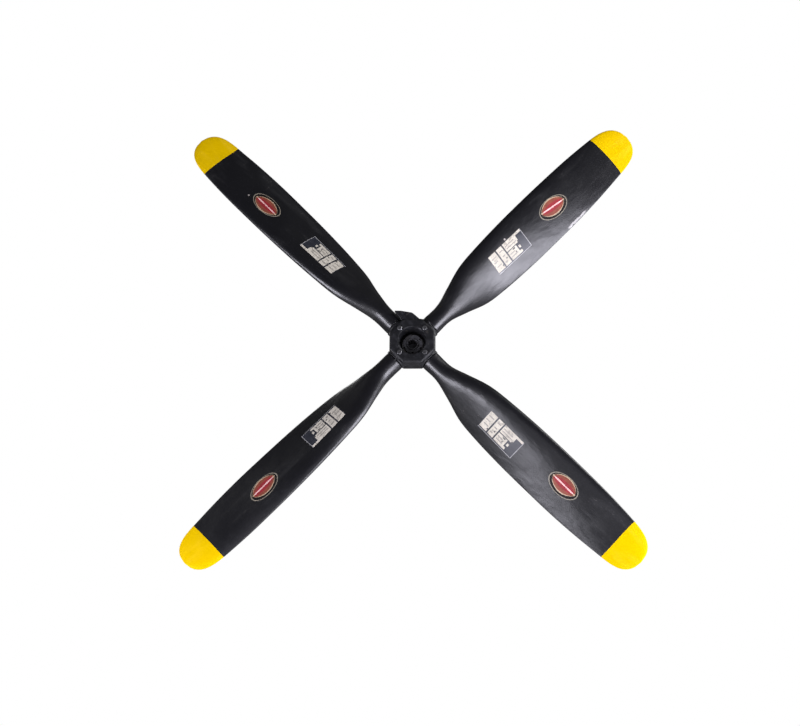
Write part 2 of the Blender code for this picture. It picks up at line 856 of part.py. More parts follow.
def build_thrust_washers(stand):
    outer = BUSH_FLANGE_R
    low = PLANE_Z + RECESS_FLOOR + 3.75 * MM
    front = ring("front_thrust_washer", THREAD_R + GAP, outer, low, low + 2.2 * MM, ROUND, stand)
    freeze(front, STEEL)
    low = SPINDLE_SHOULDER + GAP
    rear = ring("rear_thrust_washer", JOURNAL_R + GAP, outer, low, low + 2.4 * MM, ROUND, stand)
    freeze(rear, STEEL)


def build_nut(stand):
    low = PLANE_Z + RECESS_FLOOR + 8.1 * MM
    high = low + 12 * MM
    chamfer = 1.2 * MM
    profile = (
        (THREAD_R + GAP, high),
        (NUT_R - chamfer, high),
        (NUT_R, high - chamfer),
        (NUT_R, low + chamfer),
        (NUT_R - chamfer, low),
        (THREAD_R + GAP, low),
    )
    nut = turned("spindle_nut", profile, ROUND, stand)
    for number, angle, _, _ in around(NUT_SLOTS, 0, math.pi / 2):
        slot = box(
            f"nut_slot_{number}",
            (NUT_R - 5 * MM, -3.5 * MM, low - 2 * MM),
            (NUT_R + 3 * MM, 3.5 * MM, high + 2 * MM),
            stand,
        )
        slot.rotation_euler.z = angle
        cut(nut, as_cutter(slot))
    freeze(nut, STEEL)


def build_lock_washer(stand):
    """A thin ring with a tang in the spindle's keyway and a tab bent into a nut slot."""
    low = PLANE_Z + RECESS_FLOOR + 6.25 * MM
    high = low + 1.5 * MM
    washer = ring("nut_lock_washer", THREAD_R + GAP, NUT_R - MM, low, high, ROUND, stand)
    tang = box(
        "washer_tang",
        (-2.2 * MM, THREAD_R - 2 * MM, low + 0.1 * MM),
        (2.2 * MM, THREAD_R + 3 * MM, high - 0.1 * MM),
        stand,
    )
    tab = box(
        "washer_tab",
        (-2.8 * MM, NUT_R - 4.4 * MM, low + 0.2 * MM),
        (2.8 * MM, NUT_R - 2.9 * MM, high + 5 * MM),
        stand,
    )
    join(washer, as_cutter(tang), as_cutter(tab))
    freeze(washer, STEEL)


def build_flange(stand):
    high = FLANGE_THICK
    chamfer = 1.5 * MM
    profile = (
        (JOURNAL_R + GAP, high),
        (FLANGE_R - chamfer, high),
        (FLANGE_R, high - chamfer),
        (FLANGE_R, 0),
        (JOURNAL_R + GAP, 0),
    )
    flange = turned("wall_flange", profile, FLANGE_SIDES, stand)
    hole = (
        (0, high + 2 * MM),
        (5.8 * MM, high + 2 * MM),
        (5.8 * MM, high - 0.5 * MM),
        (2.8 * MM, high - 3.5 * MM),
        (2.8 * MM, -4 * MM),
        (0, -4 * MM),
    )
    for number, _, x, y in around(FLANGE_SCREWS, FLANGE_SCREW_CIRCLE, FIRST_BLADE):
        screw_hole = as_cutter(turned(f"flange_hole_{number}", hole, SMALL, stand))
        screw_hole.location = (x, y, 0)
        cut(flange, screw_hole)
    freeze(flange, BLACK_METAL)


# ---------------------------------------------------------------- the whole object

clear_scene()
PARTS = new_collection("wooden_propeller")
CUTTERS = new_collection("cutters")

BLACK_WOOD = paint("satin_black_wood", (0.013, 0.013, 0.016), 0.38)
YELLOW = paint("yellow_tip_paint", (0.87, 0.62, 0.01), 0.42)
BLACK_METAL = paint("black_hub_paint", (0.02, 0.02, 0.023), 0.35, 0.3)
STEEL = paint("plated_steel", (0.42, 0.42, 0.43), 0.32, 1.0)
BRONZE = paint("bearing_bronze", (0.45, 0.27, 0.12), 0.35, 1.0)
BADGE_RED = paint("badge_red", (0.36, 0.045, 0.035), 0.35)
CREAM = paint("data_decal_cream", (0.68, 0.66, 0.58), 0.4)

upright = add_empty("wall_frame", matrix=Matrix.Rotation(math.pi / 2, 4, "X"))
spin_axis = add_empty("hub_spin_axis", upright)

build_flange(upright)
build_spindle(upright)
build_thrust_washers(upright)
build_lock_washer(upright)
build_nut(upright)
build_hub(spin_axis)
build_bushes(spin_axis)
build_hub_bolts(spin_axis)
build_lock_screws(spin_axis)
build_blades(spin_axis)
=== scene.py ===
from math import acos, asin, cos, pi, radians, sin, sqrt, tau

import bmesh
import bpy
from mathutils import Matrix, Vector


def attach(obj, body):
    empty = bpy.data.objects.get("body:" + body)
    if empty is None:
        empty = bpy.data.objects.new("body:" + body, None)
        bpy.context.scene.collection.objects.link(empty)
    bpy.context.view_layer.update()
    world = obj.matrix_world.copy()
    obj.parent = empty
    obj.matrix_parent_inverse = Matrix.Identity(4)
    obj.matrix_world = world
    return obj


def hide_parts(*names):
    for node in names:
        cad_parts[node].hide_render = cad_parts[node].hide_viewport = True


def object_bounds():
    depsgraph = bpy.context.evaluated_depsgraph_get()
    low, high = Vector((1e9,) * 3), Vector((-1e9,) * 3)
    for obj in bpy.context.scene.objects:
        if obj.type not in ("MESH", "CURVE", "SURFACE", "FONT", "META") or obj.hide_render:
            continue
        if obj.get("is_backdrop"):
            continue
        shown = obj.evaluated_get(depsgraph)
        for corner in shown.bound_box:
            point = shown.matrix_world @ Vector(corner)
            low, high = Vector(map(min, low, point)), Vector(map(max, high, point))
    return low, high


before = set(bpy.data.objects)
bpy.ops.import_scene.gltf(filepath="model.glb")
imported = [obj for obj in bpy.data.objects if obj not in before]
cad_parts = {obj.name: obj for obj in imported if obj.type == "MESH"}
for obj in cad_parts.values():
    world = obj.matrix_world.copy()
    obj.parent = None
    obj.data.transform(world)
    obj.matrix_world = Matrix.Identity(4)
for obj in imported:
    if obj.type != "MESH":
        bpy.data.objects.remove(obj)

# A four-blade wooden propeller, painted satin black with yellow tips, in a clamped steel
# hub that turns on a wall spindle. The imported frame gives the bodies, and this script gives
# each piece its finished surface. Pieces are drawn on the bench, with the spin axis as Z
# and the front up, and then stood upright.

CAD_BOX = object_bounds()

MM = 0.001
GAP = 0.3 * MM
UPRIGHT = Matrix.Rotation(pi / 2, 4, "X")

# Driving dimensions of the propeller
RADIUS = 0.915
BLADES = 4
FIRST_BLADE = radians(45)
SHANK_R = 30 * MM
PLANE_Z = 76 * MM

# Blade planform, as shares of RADIUS: station, chord, thickness, sweep of mid-chord
STATIONS = (
    (0.08, 0.0656, 0.0656, 0.0),
    (0.14, 0.0656, 0.0656, 0.0),
    (0.2, 0.105, 0.058, -0.001),
    (0.275, 0.155, 0.0435, -0.0035),
    (0.35, 0.172, 0.036, -0.0032),
    (0.47, 0.181, 0.0295, -0.0018),
    (0.59, 0.181, 0.0245, -0.0004),
    (0.7, 0.177, 0.0195, 0.0005),
    (0.8, 0.168, 0.015, 0.0021),
    (0.9, 0.152, 0.011, 0.0031),
    (1.0, 0.135, 0.007, 0.0015),
)
ROOT_TWIST = radians(35.0)
TIP_TWIST = radians(10.8)
TWIST_START = 0.18
ROUND_UNTIL = 0.145
AEROFOIL_FROM = 0.33
TIP_START = 0.85
TIP_POWER = 4.9
TIP_ROOT = 2.15
YELLOW_FROM = 0.90
MASK_BOWS = (3.6 * MM, 0.0, 0.0, 0.0)  # how far each front's masked edge bows outboard
CAMBER_SHARE = 0.5
CAMBER_DROP = 0.4
EDGE = 1.4 * MM
PAINT_STEP = 0.12 * MM  # how much prouder the tip's extra coats stand

# Blade root
TENON_R = 16 * MM
ROOT_IN = 46 * MM
COLLAR_OUT = 57 * MM
COLLAR_R = 27 * MM
NECK_R = 22 * MM
SHOULDER = 74 * MM
PIN_R = 2.5 * MM
PIN_AT = 65 * MM

# Hub barrel: depths are on the bench, where the pitch axes lie at PLANE_Z
HUB_FLAT = 67 * MM
HUB_FRONT = PLANE_Z + 36 * MM
HUB_REAR = PLANE_Z - 42 * MM
BOSS_R = 32 * MM
BOSS_OUT = 73 * MM
REAR_BOSS_R = 40 * MM
REAR_BOSS_END = PLANE_Z - 56 * MM
RECESS_R = 38 * MM
RECESS_MOUTH_R = 42 * MM
RECESS_CONE = 8 * MM
RECESS_FLOOR = PLANE_Z - 24 * MM
LUG = ((-54, 92), (-35.5, 67.5), (-20, 56), (22, 56), (22, 66), (0, 85.5), (-34, 91.5))  # mm
LUG_BACK = PLANE_Z + 22 * MM
LUG_FRONT = PLANE_Z + 34 * MM
BUSH_R = 25 * MM
BUSH_FLANGE_R = 31 * MM
BUSH_FLANGE = 3 * MM
BUSH_LENGTH = 14 * MM
VOXEL = 0.9 * MM  # grain of the forging's remesh, which rounds its edges

# Fasteners
BOLT_CIRCLE = 53 * MM
BOLT_R = 4 * MM
BOLT_HEAD_R = 6.5 * MM
BOLT_HEAD = 8 * MM
BOLT_TIP = PLANE_Z + 20 * MM
BOLT_SOCKET = 3 * MM
COUNTERBORE = 10 * MM
WASHER = 1.6 * MM
LOCK_AT = 52 * MM
LOCK_HEAD = 5.3 * MM
LOCK_FLATS = 6.5 * MM
DOG_R = 2.8 * MM
SLOT_DEPTH = 3 * MM

# Spindle, nut and flange
JOURNAL_R = 19.7 * MM
THREAD_R = 17.7 * MM
SPINDLE_END = PLANE_Z - 1.5 * MM
SPINDLE_BORE_R = 13.5 * MM
SPINDLE_BORE_FLOOR = PLANE_Z - 50 * MM
SPINDLE_SHOULDER = 13.7 * MM
SHOULDER_R = 28 * MM
SHOULDER_THICK = 4 * MM
FLANGE_THICK = 9.4 * MM
NUT_R = 29 * MM
NUT_SLOTS = 6
FLANGE_R = 55 * MM
FLANGE_SCREWS = 4
FLANGE_SCREW_CIRCLE = 43 * MM
PITCH_FINE = radians(-8)
PITCH_COARSE = radians(16)

# Decals, laid by hand: each one's middle, along and across its blade, and its turn
BADGE_HALF = (51 * MM, 30.5 * MM)
BADGE_PLACES = ((593, 3.5, -7), (616.5, 9.5, 0.5), (603, 8, 2), (609, 7, 1))  # mm, mm, degrees
FIELD_HALF = (44 * MM, 25.5 * MM)
FIELD_SLIP = 2.9 * MM
STROKE_SLOPE = 0.05  # how far askew the pictogram lies in its badge
BADGE_SLIPS = (1, 1, -1, 1)  # the side of its oval that each badge's field lies nearer
DATA_HALF = (67.5 * MM, 32.5 * MM)
DATA_PLACES = ((401, 2, -2), (381, 7, -1.8), (358, 6, -0.8), (376, -7, -2.9))  # mm, mm, degrees
FILM = 0.10 * MM
DECAL_LIFT = 0.14 * MM  # how far a decal's lowest film stands over the paint

# Marks that single blades have
BLADE_STEP = 10.0  # how far apart the blades' texture spaces lie, in metres
CHIPS = ((1, 0.413, 0.040, 3.6 * MM), (2, 0.677, 0.026, 3.2 * MM))  # blade, radius, across, size
RUBBED_SPAN = (0.602, 0.682)

# How finely things are drawn
AROUND_BLADE = 80
ROOT_RINGS = 6  # how many of a blade's rings come before its sections
ROUND = 96
SMALL = 40


# ---- shader nodes


def configured(made, **settings):
    """The same thing, with its settings given by name."""
    for key, value in settings.items():
        setattr(made, key, value)
    return made


class Finish:
    """One procedural material, built up node by node round its Principled shader."""

    def __init__(self, name):
        self.material = bpy.data.materials.new(name)
        self.material.use_nodes = True
        self.tree = self.material.node_tree
        self.surface = self.tree.nodes["Principled BSDF"]

    def node(self, kind, **settings):
        return configured(self.tree.nodes.new(kind), **settings)

    def feed(self, socket, value):
        """Links an output to a socket, or sets the socket to a number, vector or colour."""
        if isinstance(value, bpy.types.NodeSocket):
            self.tree.links.new(value, socket)
        else:
            socket.default_value = (*value, 1.0) if socket.type == "RGBA" else value

    def edges(self):
        """Above 0.5 on outer edges, and below it in corners."""
        return self.node("ShaderNodeNewGeometry").outputs["Pointiness"]

    def stored(self, name, output="Vector"):
        """A value stored on the mesh, which store_local and build_blade put there."""
        return self.node("ShaderNodeAttribute", attribute_name=name).outputs[output]

    def place(self):
        """The point on the piece, in the shared frame at rest."""
        return self.node("ShaderNodeTexCoord").outputs["Object"]

    def fill(self, made, **values):
        """Feeds a node's sockets by name, with _ for each space."""
        for name, value in values.items():
            self.feed(made.inputs[name.replace("_", " ")], value)
        return made

    def noise(self, vector, scale, detail=3.0, roughness=0.5, distortion=0.0):
        """Noise at one scale, or at a tuple of three along the axes."""
        if isinstance(scale, tuple):
            stretch = self.fill(self.node("ShaderNodeMapping"), Vector=vector, Scale=scale)
            vector, scale = stretch.outputs[0], 1.0
        made = self.fill(self.node("ShaderNodeTexNoise"), Vector=vector, Scale=scale)
        self.fill(made, Detail=detail, Roughness=roughness, Distortion=distortion)
        return made.outputs["Fac"]

    def cells(self, vector, scale):
        """Distance to the nearest of many scattered points."""
        made = self.fill(self.node("ShaderNodeTexVoronoi"), Vector=vector, Scale=scale)
        return made.outputs["Distance"]

    def ramp(self, value, low, high, start=0.0, end=1.0):
        """value going from low to high gives start to end, smoothly and no further."""
        made = self.node("ShaderNodeMapRange", interpolation_type="SMOOTHSTEP")
        self.fill(made, Value=value, From_Min=low, From_Max=high, To_Min=start, To_Max=end)
        return made.outputs["Result"]

    def sum(self, operation, a, b=0.0):
        made = self.node("ShaderNodeMath", operation=operation)
        self.feed(made.inputs[0], a)
        self.feed(made.inputs[1], b)
        return made.outputs[0]

    def plus(self, a, b):
        return self.sum("ADD", a, b)

    def times(self, a, b):
        return self.sum("MULTIPLY", a, b)

    def blend(self, factor, a, b):
        """Colour a where factor is 0 and colour b where it is 1."""
        made = self.node("ShaderNodeMix", data_type="RGBA")
        for place, value in ((0, factor), (6, a), (7, b)):
            self.feed(made.inputs[place], value)
        return made.outputs[2]

    def coats(self, shade, *coats):
        """The colour under others, each one a mask, its strength and its colour."""
        for mask, share, colour in coats:
            shade = self.blend(self.times(mask, share), shade, colour)
        return shade

    def spot(self, vector, centre, radius):
        """1 inside a small round mark at centre, 0 outside it."""
        made = self.node("ShaderNodeVectorMath", operation="DISTANCE")
        self.feed(made.inputs[0], vector)
        made.inputs[1].default_value = centre
        return self.ramp(made.outputs["Value"], radius, radius * 0.7)

    def relief(self, *layers):
        """Relief upon relief, each one a height and its depth in metres."""
        made = None
        for height, depth in layers:
            under = made
            made = self.fill(self.node("ShaderNodeBump"), Height=height, Distance=depth)
            if under:
                self.feed(made.inputs["Normal"], under.outputs["Normal"])
        return made.outputs["Normal"]

    def end(self, colour, roughness, normal, **others):
        self.fill(self.surface, Base_Color=colour, Roughness=roughness, Normal=normal, **others)
        return self.material


def toned(colour, share, lift=0.0):
    return tuple(min(1.0, share * c + lift) for c in colour)


def blade_paint(name, colour, worn, gloss, tip):
    """Satin paint over wood: grain, orange peel, rubbed patches, scratches and chips."""
    f = Finish(name)
    local = f.stored("local")
    rim = f.sum("ABSOLUTE", f.stored("rim", "Fac"))
    cloud = f.noise(local, 9.0, 5.0, 0.6)
    rubbed = f.ramp(f.noise(local, (30, 30, 5), 6.0, 0.65, 0.6), 0.50, 0.78)
    grain = f.noise(local, (260, 260, 6), 3.0, 0.55)
    peel = f.noise(local, 1300.0, 2.0, 0.5)
    scratch = f.ramp(f.noise(local, (700, 700, 16), 1.0, 0.4, 1.5), 0.715, 0.75)
    cross = f.ramp(f.noise(local, (40, 90, 900), 1.0, 0.4, 1.2), 0.73, 0.755)
    fleck = f.ramp(f.cells(local, 55.0), 0.045, 0.028)
    rare = f.ramp(f.noise(local, 23.0, 2.0), 0.60, 0.66)
    broken = f.ramp(f.noise(local, 240.0, 5.0, 0.7), 0.64, 0.69)
    nicks = f.times(f.ramp(rim, 0.9985, 0.9999), broken)
    bare = f.sum("MAXIMUM", f.times(fleck, rare), nicks)
    lines = f.times(f.sum("MAXIMUM", scratch, cross), rubbed)
    dark, dusty = toned(colour, 0.72), toned(colour, 1.08, 0.018)
    shade = f.coats(colour, (cloud, 0.5, dark), (rubbed, 0.55, dusty), (lines, 0.35, worn))
    if not tip:
        for number, radius, across, size in CHIPS:
            at = front_point(radius, across, 0.0) + Vector((0, 0, number * BLADE_STEP))
            bare = f.sum("MAXIMUM", bare, f.spot(local, at, size))
    shade = f.blend(bare, shade, worn)
    if not tip:
        shade = f.coats(shade, (rubbed_edge(f, local), 0.85, (0.50, 0.48, 0.48)))
    rough = f.plus(f.ramp(cloud, 0.3, 0.7, gloss - 0.03, gloss + 0.04), f.times(rubbed, 0.07))
    rough = f.plus(rough, f.times(bare, 0.25))
    waves = f.noise(local, (18, 18, 9), 3.0, 0.55)
    chipped = (f.times(bare, -1.0), 0.10 * MM)
    relief = f.relief((waves, 2.2 * MM), (grain, 0.05 * MM), (peel, 0.006 * MM), chipped)
    tint = (1.0, 0.8, 0.03) if tip else (1.0, 1.0, 1.0)
    return f.end(shade, rough, relief, Specular_Tint=tint, IOR=1.45 if tip else 1.64)


def rubbed_edge(f, local):
    """Where the first blade's trailing edge is rubbed down to a ragged pale line."""
    span = f.node("ShaderNodeSeparateXYZ")
    f.feed(span.inputs[0], local)
    start = BLADE_STEP + RUBBED_SPAN[0]
    end = BLADE_STEP + RUBBED_SPAN[1]
    uneven = f.noise(local, 110.0, 5.0, 0.7)
    ragged = f.plus(span.outputs["Z"], f.times(uneven, 0.030))
    length = f.times(f.ramp(ragged, start, start + 0.010), f.ramp(ragged, end + 0.010, end - 0.016))
    rim = f.plus(f.stored("rim", "Fac"), f.times(uneven, 0.10))
    trailing = f.times(f.ramp(rim, -0.825, -0.86), f.ramp(rim, -0.93, -0.905))
    broken = f.ramp(f.noise(local, (90, 90, 45), 4.0, 0.65), 0.36, 0.46)
    return f.times(f.times(length, trailing), broken)


def hub_paint(name, colour, worn, gloss):
    """Black paint on a forging: pebbled, greasy in patches, smeared, and worn at edges."""
    f = Finish(name)
    here = f.place()
    edge = f.edges()
    broad = f.noise(here, 35.0, 5.0, 0.6)
    skin = f.noise(here, 420.0, 4.0, 0.6)
    pits = f.ramp(f.cells(here, 260.0), 0.16, 0.06)
    cloudy = f.ramp(f.noise(here, 75.0, 4.0, 0.6, 0.5), 0.46, 0.66)
    smear = f.ramp(f.noise(here, (90, 90, 45), 5.0, 0.65, 1.0), 0.60, 0.72)
    lifted = f.plus(edge, f.times(f.sum("SUBTRACT", skin, 0.5), 0.05))
    wear = f.times(f.ramp(lifted, 0.56, 0.61), f.ramp(broad, 0.50, 0.68))
    shade = f.blend(cloudy, colour, toned(colour, 2.0, 0.003))
    shade = f.coats(shade, (smear, 0.5, (0.085, 0.075, 0.066)), (pits, 0.5, toned(colour, 0.5)))
    shade = f.coats(shade, (wear, 0.8, worn))
    rough = f.plus(f.ramp(broad, 0.3, 0.7, gloss - 0.05, gloss + 0.08), f.times(cloudy, 0.08))
    pitted = (f.times(pits, -1.0), 0.06 * MM)
    relief = f.relief((skin, 0.06 * MM), (broad, 0.35 * MM), pitted)
    return f.end(shade, rough, relief, Metallic=f.times(wear, 0.5), IOR=1.42)


def bare_metal(name, colour, tarnish, gloss, metallic=1.0):
    """Machined metal: tool lines, fine scratches, patches of tarnish, brighter edges."""
    f = Finish(name)
    here = f.place()
    edge = f.ramp(f.edges(), 0.52, 0.60)
    patch = f.ramp(f.noise(here, 60.0, 5.0, 0.65), 0.42, 0.66)
    fine = f.noise(here, 900.0, 3.0, 0.6)
    lines = f.noise(here, (30, 2600, 30), 2.0, 0.5)
    shade = f.coats(colour, (patch, 0.8, tarnish), (edge, 0.5, toned(colour, 1.5, 0.05)))
    rough = f.plus(f.ramp(patch, 0.0, 1.0, gloss, gloss + 0.16), f.times(fine, 0.08))
    relief = f.relief((lines, 0.008 * MM), (fine, 0.004 * MM))
    return f.end(shade, rough, relief, Metallic=metallic)


def printed_film(name, colour, faded, gloss, ior=1.6):
    """Printed decal film: uneven yellowed ink, specks of dirt and tiny creases."""
    f = Finish(name)
    local = f.stored("local")
    ink = f.noise(local, 70.0, 5.0, 0.6)
    speck = f.times(f.ramp(f.cells(local, 320.0), 0.10, 0.05), f.ramp(ink, 0.5, 0.6))
    crease = f.ramp(f.noise(local, (160, 160, 500), 2.0, 0.5, 1.0), 0.70, 0.74)
    shade = f.blend(f.ramp(ink, 0.3, 0.75), colour, faded)
    dirt, pale = toned(faded, 0.25), toned(faded, 1.3, 0.05)
    shade = f.coats(shade, (speck, 0.6, dirt), (crease, 0.25, pale))
    rough = f.ramp(ink, 0.3, 0.7, gloss - 0.04, gloss + 0.08)
    relief = f.relief((f.noise(local, 500.0, 2.0), 0.01 * MM), (crease, 0.02 * MM))
    return f.end(shade, rough, relief, IOR=ior)


def smudged_film(name, colour, smudge, gloss):
    """A pale printed panel whose print has faded into soft blots and short strokes."""
    f = Finish(name)
    local = f.stored("local")
    blots = f.ramp(f.noise(local, 95.0, 3.0, 0.55, 0.8), 0.57, 0.64)
    strokes = f.ramp(f.noise(local, (420, 420, 130), 3.0, 0.6, 0.6), 0.58, 0.63)
    dark = f.ramp(f.noise(local, 210.0, 4.0, 0.6, 0.4), 0.665, 0.70)
    tone = f.noise(local, 30.0, 4.0, 0.6)
    shade = f.blend(f.ramp(tone, 0.35, 0.7), colour, toned(colour, 0.82))
    shade = f.coats(shade, (blots, 0.55, smudge), (strokes, 0.45, smudge))
    shade = f.coats(shade, (dark, 0.9, toned(smudge, 0.2)))
    rough = f.ramp(tone, 0.3, 0.7, gloss - 0.04, gloss + 0.06)
    relief = f.relief((f.noise(local, 500.0, 2.0), 0.01 * MM))
    return f.end(shade, rough, relief, IOR=1.36)


def floor_finish():
    """Pale floor, which glows for the camera alone so that it meets the white surround."""
    f = Finish("studio_floor")
    here = f.place()
    tone = f.noise(here, 1.3, 4.0, 0.6)
    shade = f.blend(tone, (0.80, 0.80, 0.80), (0.84, 0.84, 0.835))
    seen = f.node("ShaderNodeLightPath").outputs["Is Camera Ray"]
    relief = f.relief((f.noise(here, 60.0, 3.0), 0.2 * MM))
    glow = {"Emission_Color": (1, 1, 1), "Emission_Strength": f.times(seen, 0.62)}
    return f.end(shade, 0.6, relief, **glow)


# ---- mesh tools


def to_mesh(shape, name):
    bmesh.ops.recalc_face_normals(shape, faces=shape.faces)
    mesh = bpy.data.meshes.new(name)
    shape.to_mesh(mesh)
    shape.free()
    return mesh


def turns(count, phase=0.0):
    """Angles evenly spaced round a full turn."""
    return [phase + i * tau / count for i in range(count)]


def ring(radius, z, angles):
    return [Vector((radius * cos(a), radius * sin(a), z)) for a in angles]


def skin_rings(shape, rings, closed=True):
    """Quads between rings of points. A ring of one point closes that end."""
    rows = [[shape.verts.new(point) for point in level] for level in rings]
    for low, high in zip(rows, rows[1:]):
        count = max(len(low), len(high))
        for i in range(count if closed else count - 1):
            j = (i + 1) % count
            face = [low[i % len(low)], low[j % len(low)], high[j % len(high)], high[i % len(high)]]
            shape.faces.new(list(dict.fromkeys(face)))
    return rows


def loft(rings, name):
    """A closed solid over rings of equal length, with a cap at each end."""
    shape = bmesh.new()
    rows = skin_rings(shape, rings)
    shape.faces.new(reversed(rows[0]))
    shape.faces.new(rows[-1])
    return to_mesh(shape, name)


def filleted(outline, radius, closed, steps=3):
    """The outline with its corners rounded. End points of an open outline stay."""
    count = len(outline)
    points = []
    for i, corner in enumerate(outline):
        if not closed and i in (0, count - 1):
            points.append(corner)
            continue
        corner = Vector(corner)
        arms = [Vector(outline[i - 1]) - corner, Vector(outline[(i + 1) % count]) - corner]
        cuts = [corner + arm.normalized() * min(radius, 0.45 * arm.length) for arm in arms]
        for k in range(steps + 1):
            t = k / steps
            points.append(cuts[0] * (1 - t) ** 2 + corner * 2 * t * (1 - t) + cuts[1] * t**2)
    return [tuple(point) for point in points]


def stepped(*values):
    """A square-cornered outline from a radius and a z in turn, each moving on from the last."""
    points = [values[:2]]
    for i, value in enumerate(values[2:]):
        radius, z = points[-1]
        points.append((radius, value) if i % 2 else (value, z))
    return points


def turned(name, outline, sides=ROUND, fillet=0.4 * MM, phase=0.0):
    """A solid turned about Z from (radius, z) points. Points all off Z give a ring."""
    solid = outline[0][0] == 0
    points = filleted(outline, fillet, not solid) if fillet else list(outline)
    if not solid:
        points.append(points[0])
    shape = bmesh.new()
    rings = [ring(radius, z, turns(sides, phase) if radius else [0]) for radius, z in points]
    if solid:
        skin_rings(shape, rings)
    else:
        rows = skin_rings(shape, rings[:-1])
        skin_between(shape, rows[-1], rows[0])
    return to_mesh(shape, name)


def skin_between(shape, low, high, closed=True):
    """Quads between two rows of as many points, and the quads themselves."""
    faces = []
    for i in range(len(low) if closed else len(low) - 1):
        j = (i + 1) % len(low)
        faces.append(shape.faces.new((low[i], low[j], high[j], high[i])))
    return faces


def prism(name, outline, low, high, bevel=0.0):
    """An upright prism over an outline in X and Y, with its top and bottom edges eased."""
    corners = [Vector((x, y, 0)) for x, y in outline]
    middle = sum(corners, Vector()) / len(corners)
    levels = [(low, 0.0), (high, 0.0)]
    if bevel:
        levels = [(low, bevel), (low + bevel, 0.0), (high - bevel, 0.0), (high, bevel)]
    rings = []
    for z, inset in levels:
        up = Vector((0, 0, z))
        rings.append([c + (middle - c).normalized() * inset + up for c in corners])
    return loft(rings, name)


def block(name, low, high):
    (x0, y0, z0), (x1, y1, z1) = low, high
    return prism(name, ((x0, y0), (x1, y0), (x1, y1), (x0, y1)), z0, z1)


def linked(name, data):
    """A new object, in the scene."""
    made = bpy.data.objects.new(name, data)
    bpy.context.scene.collection.objects.link(made)
    return made


CUT, JOIN, COMMON = "DIFFERENCE", "UNION", "INTERSECT"


def worked(mesh, *steps):
    """The mesh after Boolean steps, each an operation and the mesh it uses."""
    made = linked("worked", mesh)
    tools = [linked("tool", tool_mesh) for _, tool_mesh in steps]
    for (operation, _), tool in zip(steps, tools):
        boolean = made.modifiers.new("step", "BOOLEAN")
        configured(boolean, operation=operation, solver="EXACT", object=tool)
    result = applied(made)
    for tool in tools:
        bpy.data.objects.remove(tool)
    return result


def applied(made):
    """The mesh that an object's modifiers give. The object itself is removed."""
    bpy.context.view_layer.update()
    graph = bpy.context.evaluated_depsgraph_get()
    result = bpy.data.meshes.new_from_object(made.evaluated_get(graph))
    bpy.data.objects.remove(made)
    return result


def moved(mesh, matrix):
    copy = mesh.copy()
    copy.transform(matrix)
    return copy


def show(node, mesh, body, slot, *materials):
    """Makes the finished piece that stands for a CAD node and rides on its body."""
    made = linked(node + "_fine", mesh)
    mesh.name = made.name
    mesh.materials.clear()
    for material in materials:
        mesh.materials.append(material)
    mesh.shade_smooth()
    mesh.set_sharp_from_angle(angle=radians(38))
    configured(made.modifiers.new("flat faces", "WEIGHTED_NORMAL"), keep_sharp=True)
    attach(made, body)
    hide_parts(node)
    return made


def spots(radius, angles):
    """Moves from the spin axis to places round it, on the bench."""
    return [Matrix.Translation(point) for point in ring(radius, 0, angles)]


def blade_matrix(angle):
    """From a blade's own axes to the bench: its Z is radial and its Y faces forward."""
    radial = Vector((cos(angle), sin(angle), 0))
    leading = Vector((-sin(angle), cos(angle), 0))
    turn = Matrix((leading, Vector((0, 0, 1)), radial)).transposed()
    return Matrix.Translation((0, 0, PLANE_Z)) @ turn.to_4x4()


BLADE_ANGLES = turns(BLADES, FIRST_BLADE)
BLADE_PLACES = [blade_matrix(angle) for angle in BLADE_ANGLES]
BOLT_SPOTS = spots(BOLT_CIRCLE, turns(BLADES))
LOCK_SPOTS = spots(LOCK_AT, BLADE_ANGLES)


def hexagon(flat):
    return [point.xy for point in ring(flat / cos(pi / 6), 0, turns(6))]


# ---- blade surface


def smoothstep(x, start, end):
    t = min(max((x - start) / (end - start), 0.0), 1.0)
    return t * t * (3 - 2 * t)


def station_values(share):
    """Chord, thickness and sweep at this share of the radius."""
    rows = STATIONS
    i = max(k for k in range(len(rows) - 1) if rows[k][0] <= share or k == 0)
    before = rows[max(i - 1, 0)]
    after = rows[min(i + 2, len(rows) - 1)]
    (x0, *start), (x1, *end) = rows[i], rows[i + 1]
    t = (share - x0) / (x1 - x0)
    values = []
    for a, b, c, d in zip(before[1:], start, end, after[1:]):
        slope_in = (c - a) / (x1 - before[0]) * (x1 - x0)
        slope_out = (d - b) / (after[0] - x0) * (x1 - x0)
        rise = (2 * t**3 - 3 * t**2 + 1) * b + (3 * t**2 - 2 * t**3) * c
        bend = (t**3 - 2 * t**2 + t) * slope_in + (t**3 - t**2) * slope_out
        values.append((rise + bend) * RADIUS)
    return values


def tip_closing(share):
    closing = max((share - TIP_START) / (1 - TIP_START), 0.0)
    return max(1 - closing**TIP_POWER, 0.0) ** (1 / TIP_ROOT)


def half_thickness(angle, thickness, roundness):
    """Half a section's thickness: angle 0 is its leading edge and pi its trailing edge."""
    sine = abs(sin(angle))
    x = (1 - cos(angle)) / 2
    curve = 0.2969 * sqrt(x) - 0.126 * x - 0.3516 * x**2 + 0.2843 * x**3 - 0.1036 * x**4
    aerofoil = 5 * thickness * curve + EDGE * x * sine**0.35
    return roundness * thickness / 2 * sine + (1 - roundness) * aerofoil


def section(share):
    """A blade section's chord, thickness, sweep, twist and roundness."""
    chord, thickness, sweep = station_values(share)
    closing = tip_closing(share)
    along = (share - TWIST_START) / (1 - TWIST_START)
    twist = ROOT_TWIST + (TIP_TWIST - ROOT_TWIST) * max(along, 0.0)
    roundness = 1 - smoothstep(share, ROUND_UNTIL, AEROFOIL_FROM)
    return chord * closing, thickness * min(1.0, closing + 0.15), sweep, twist, roundness


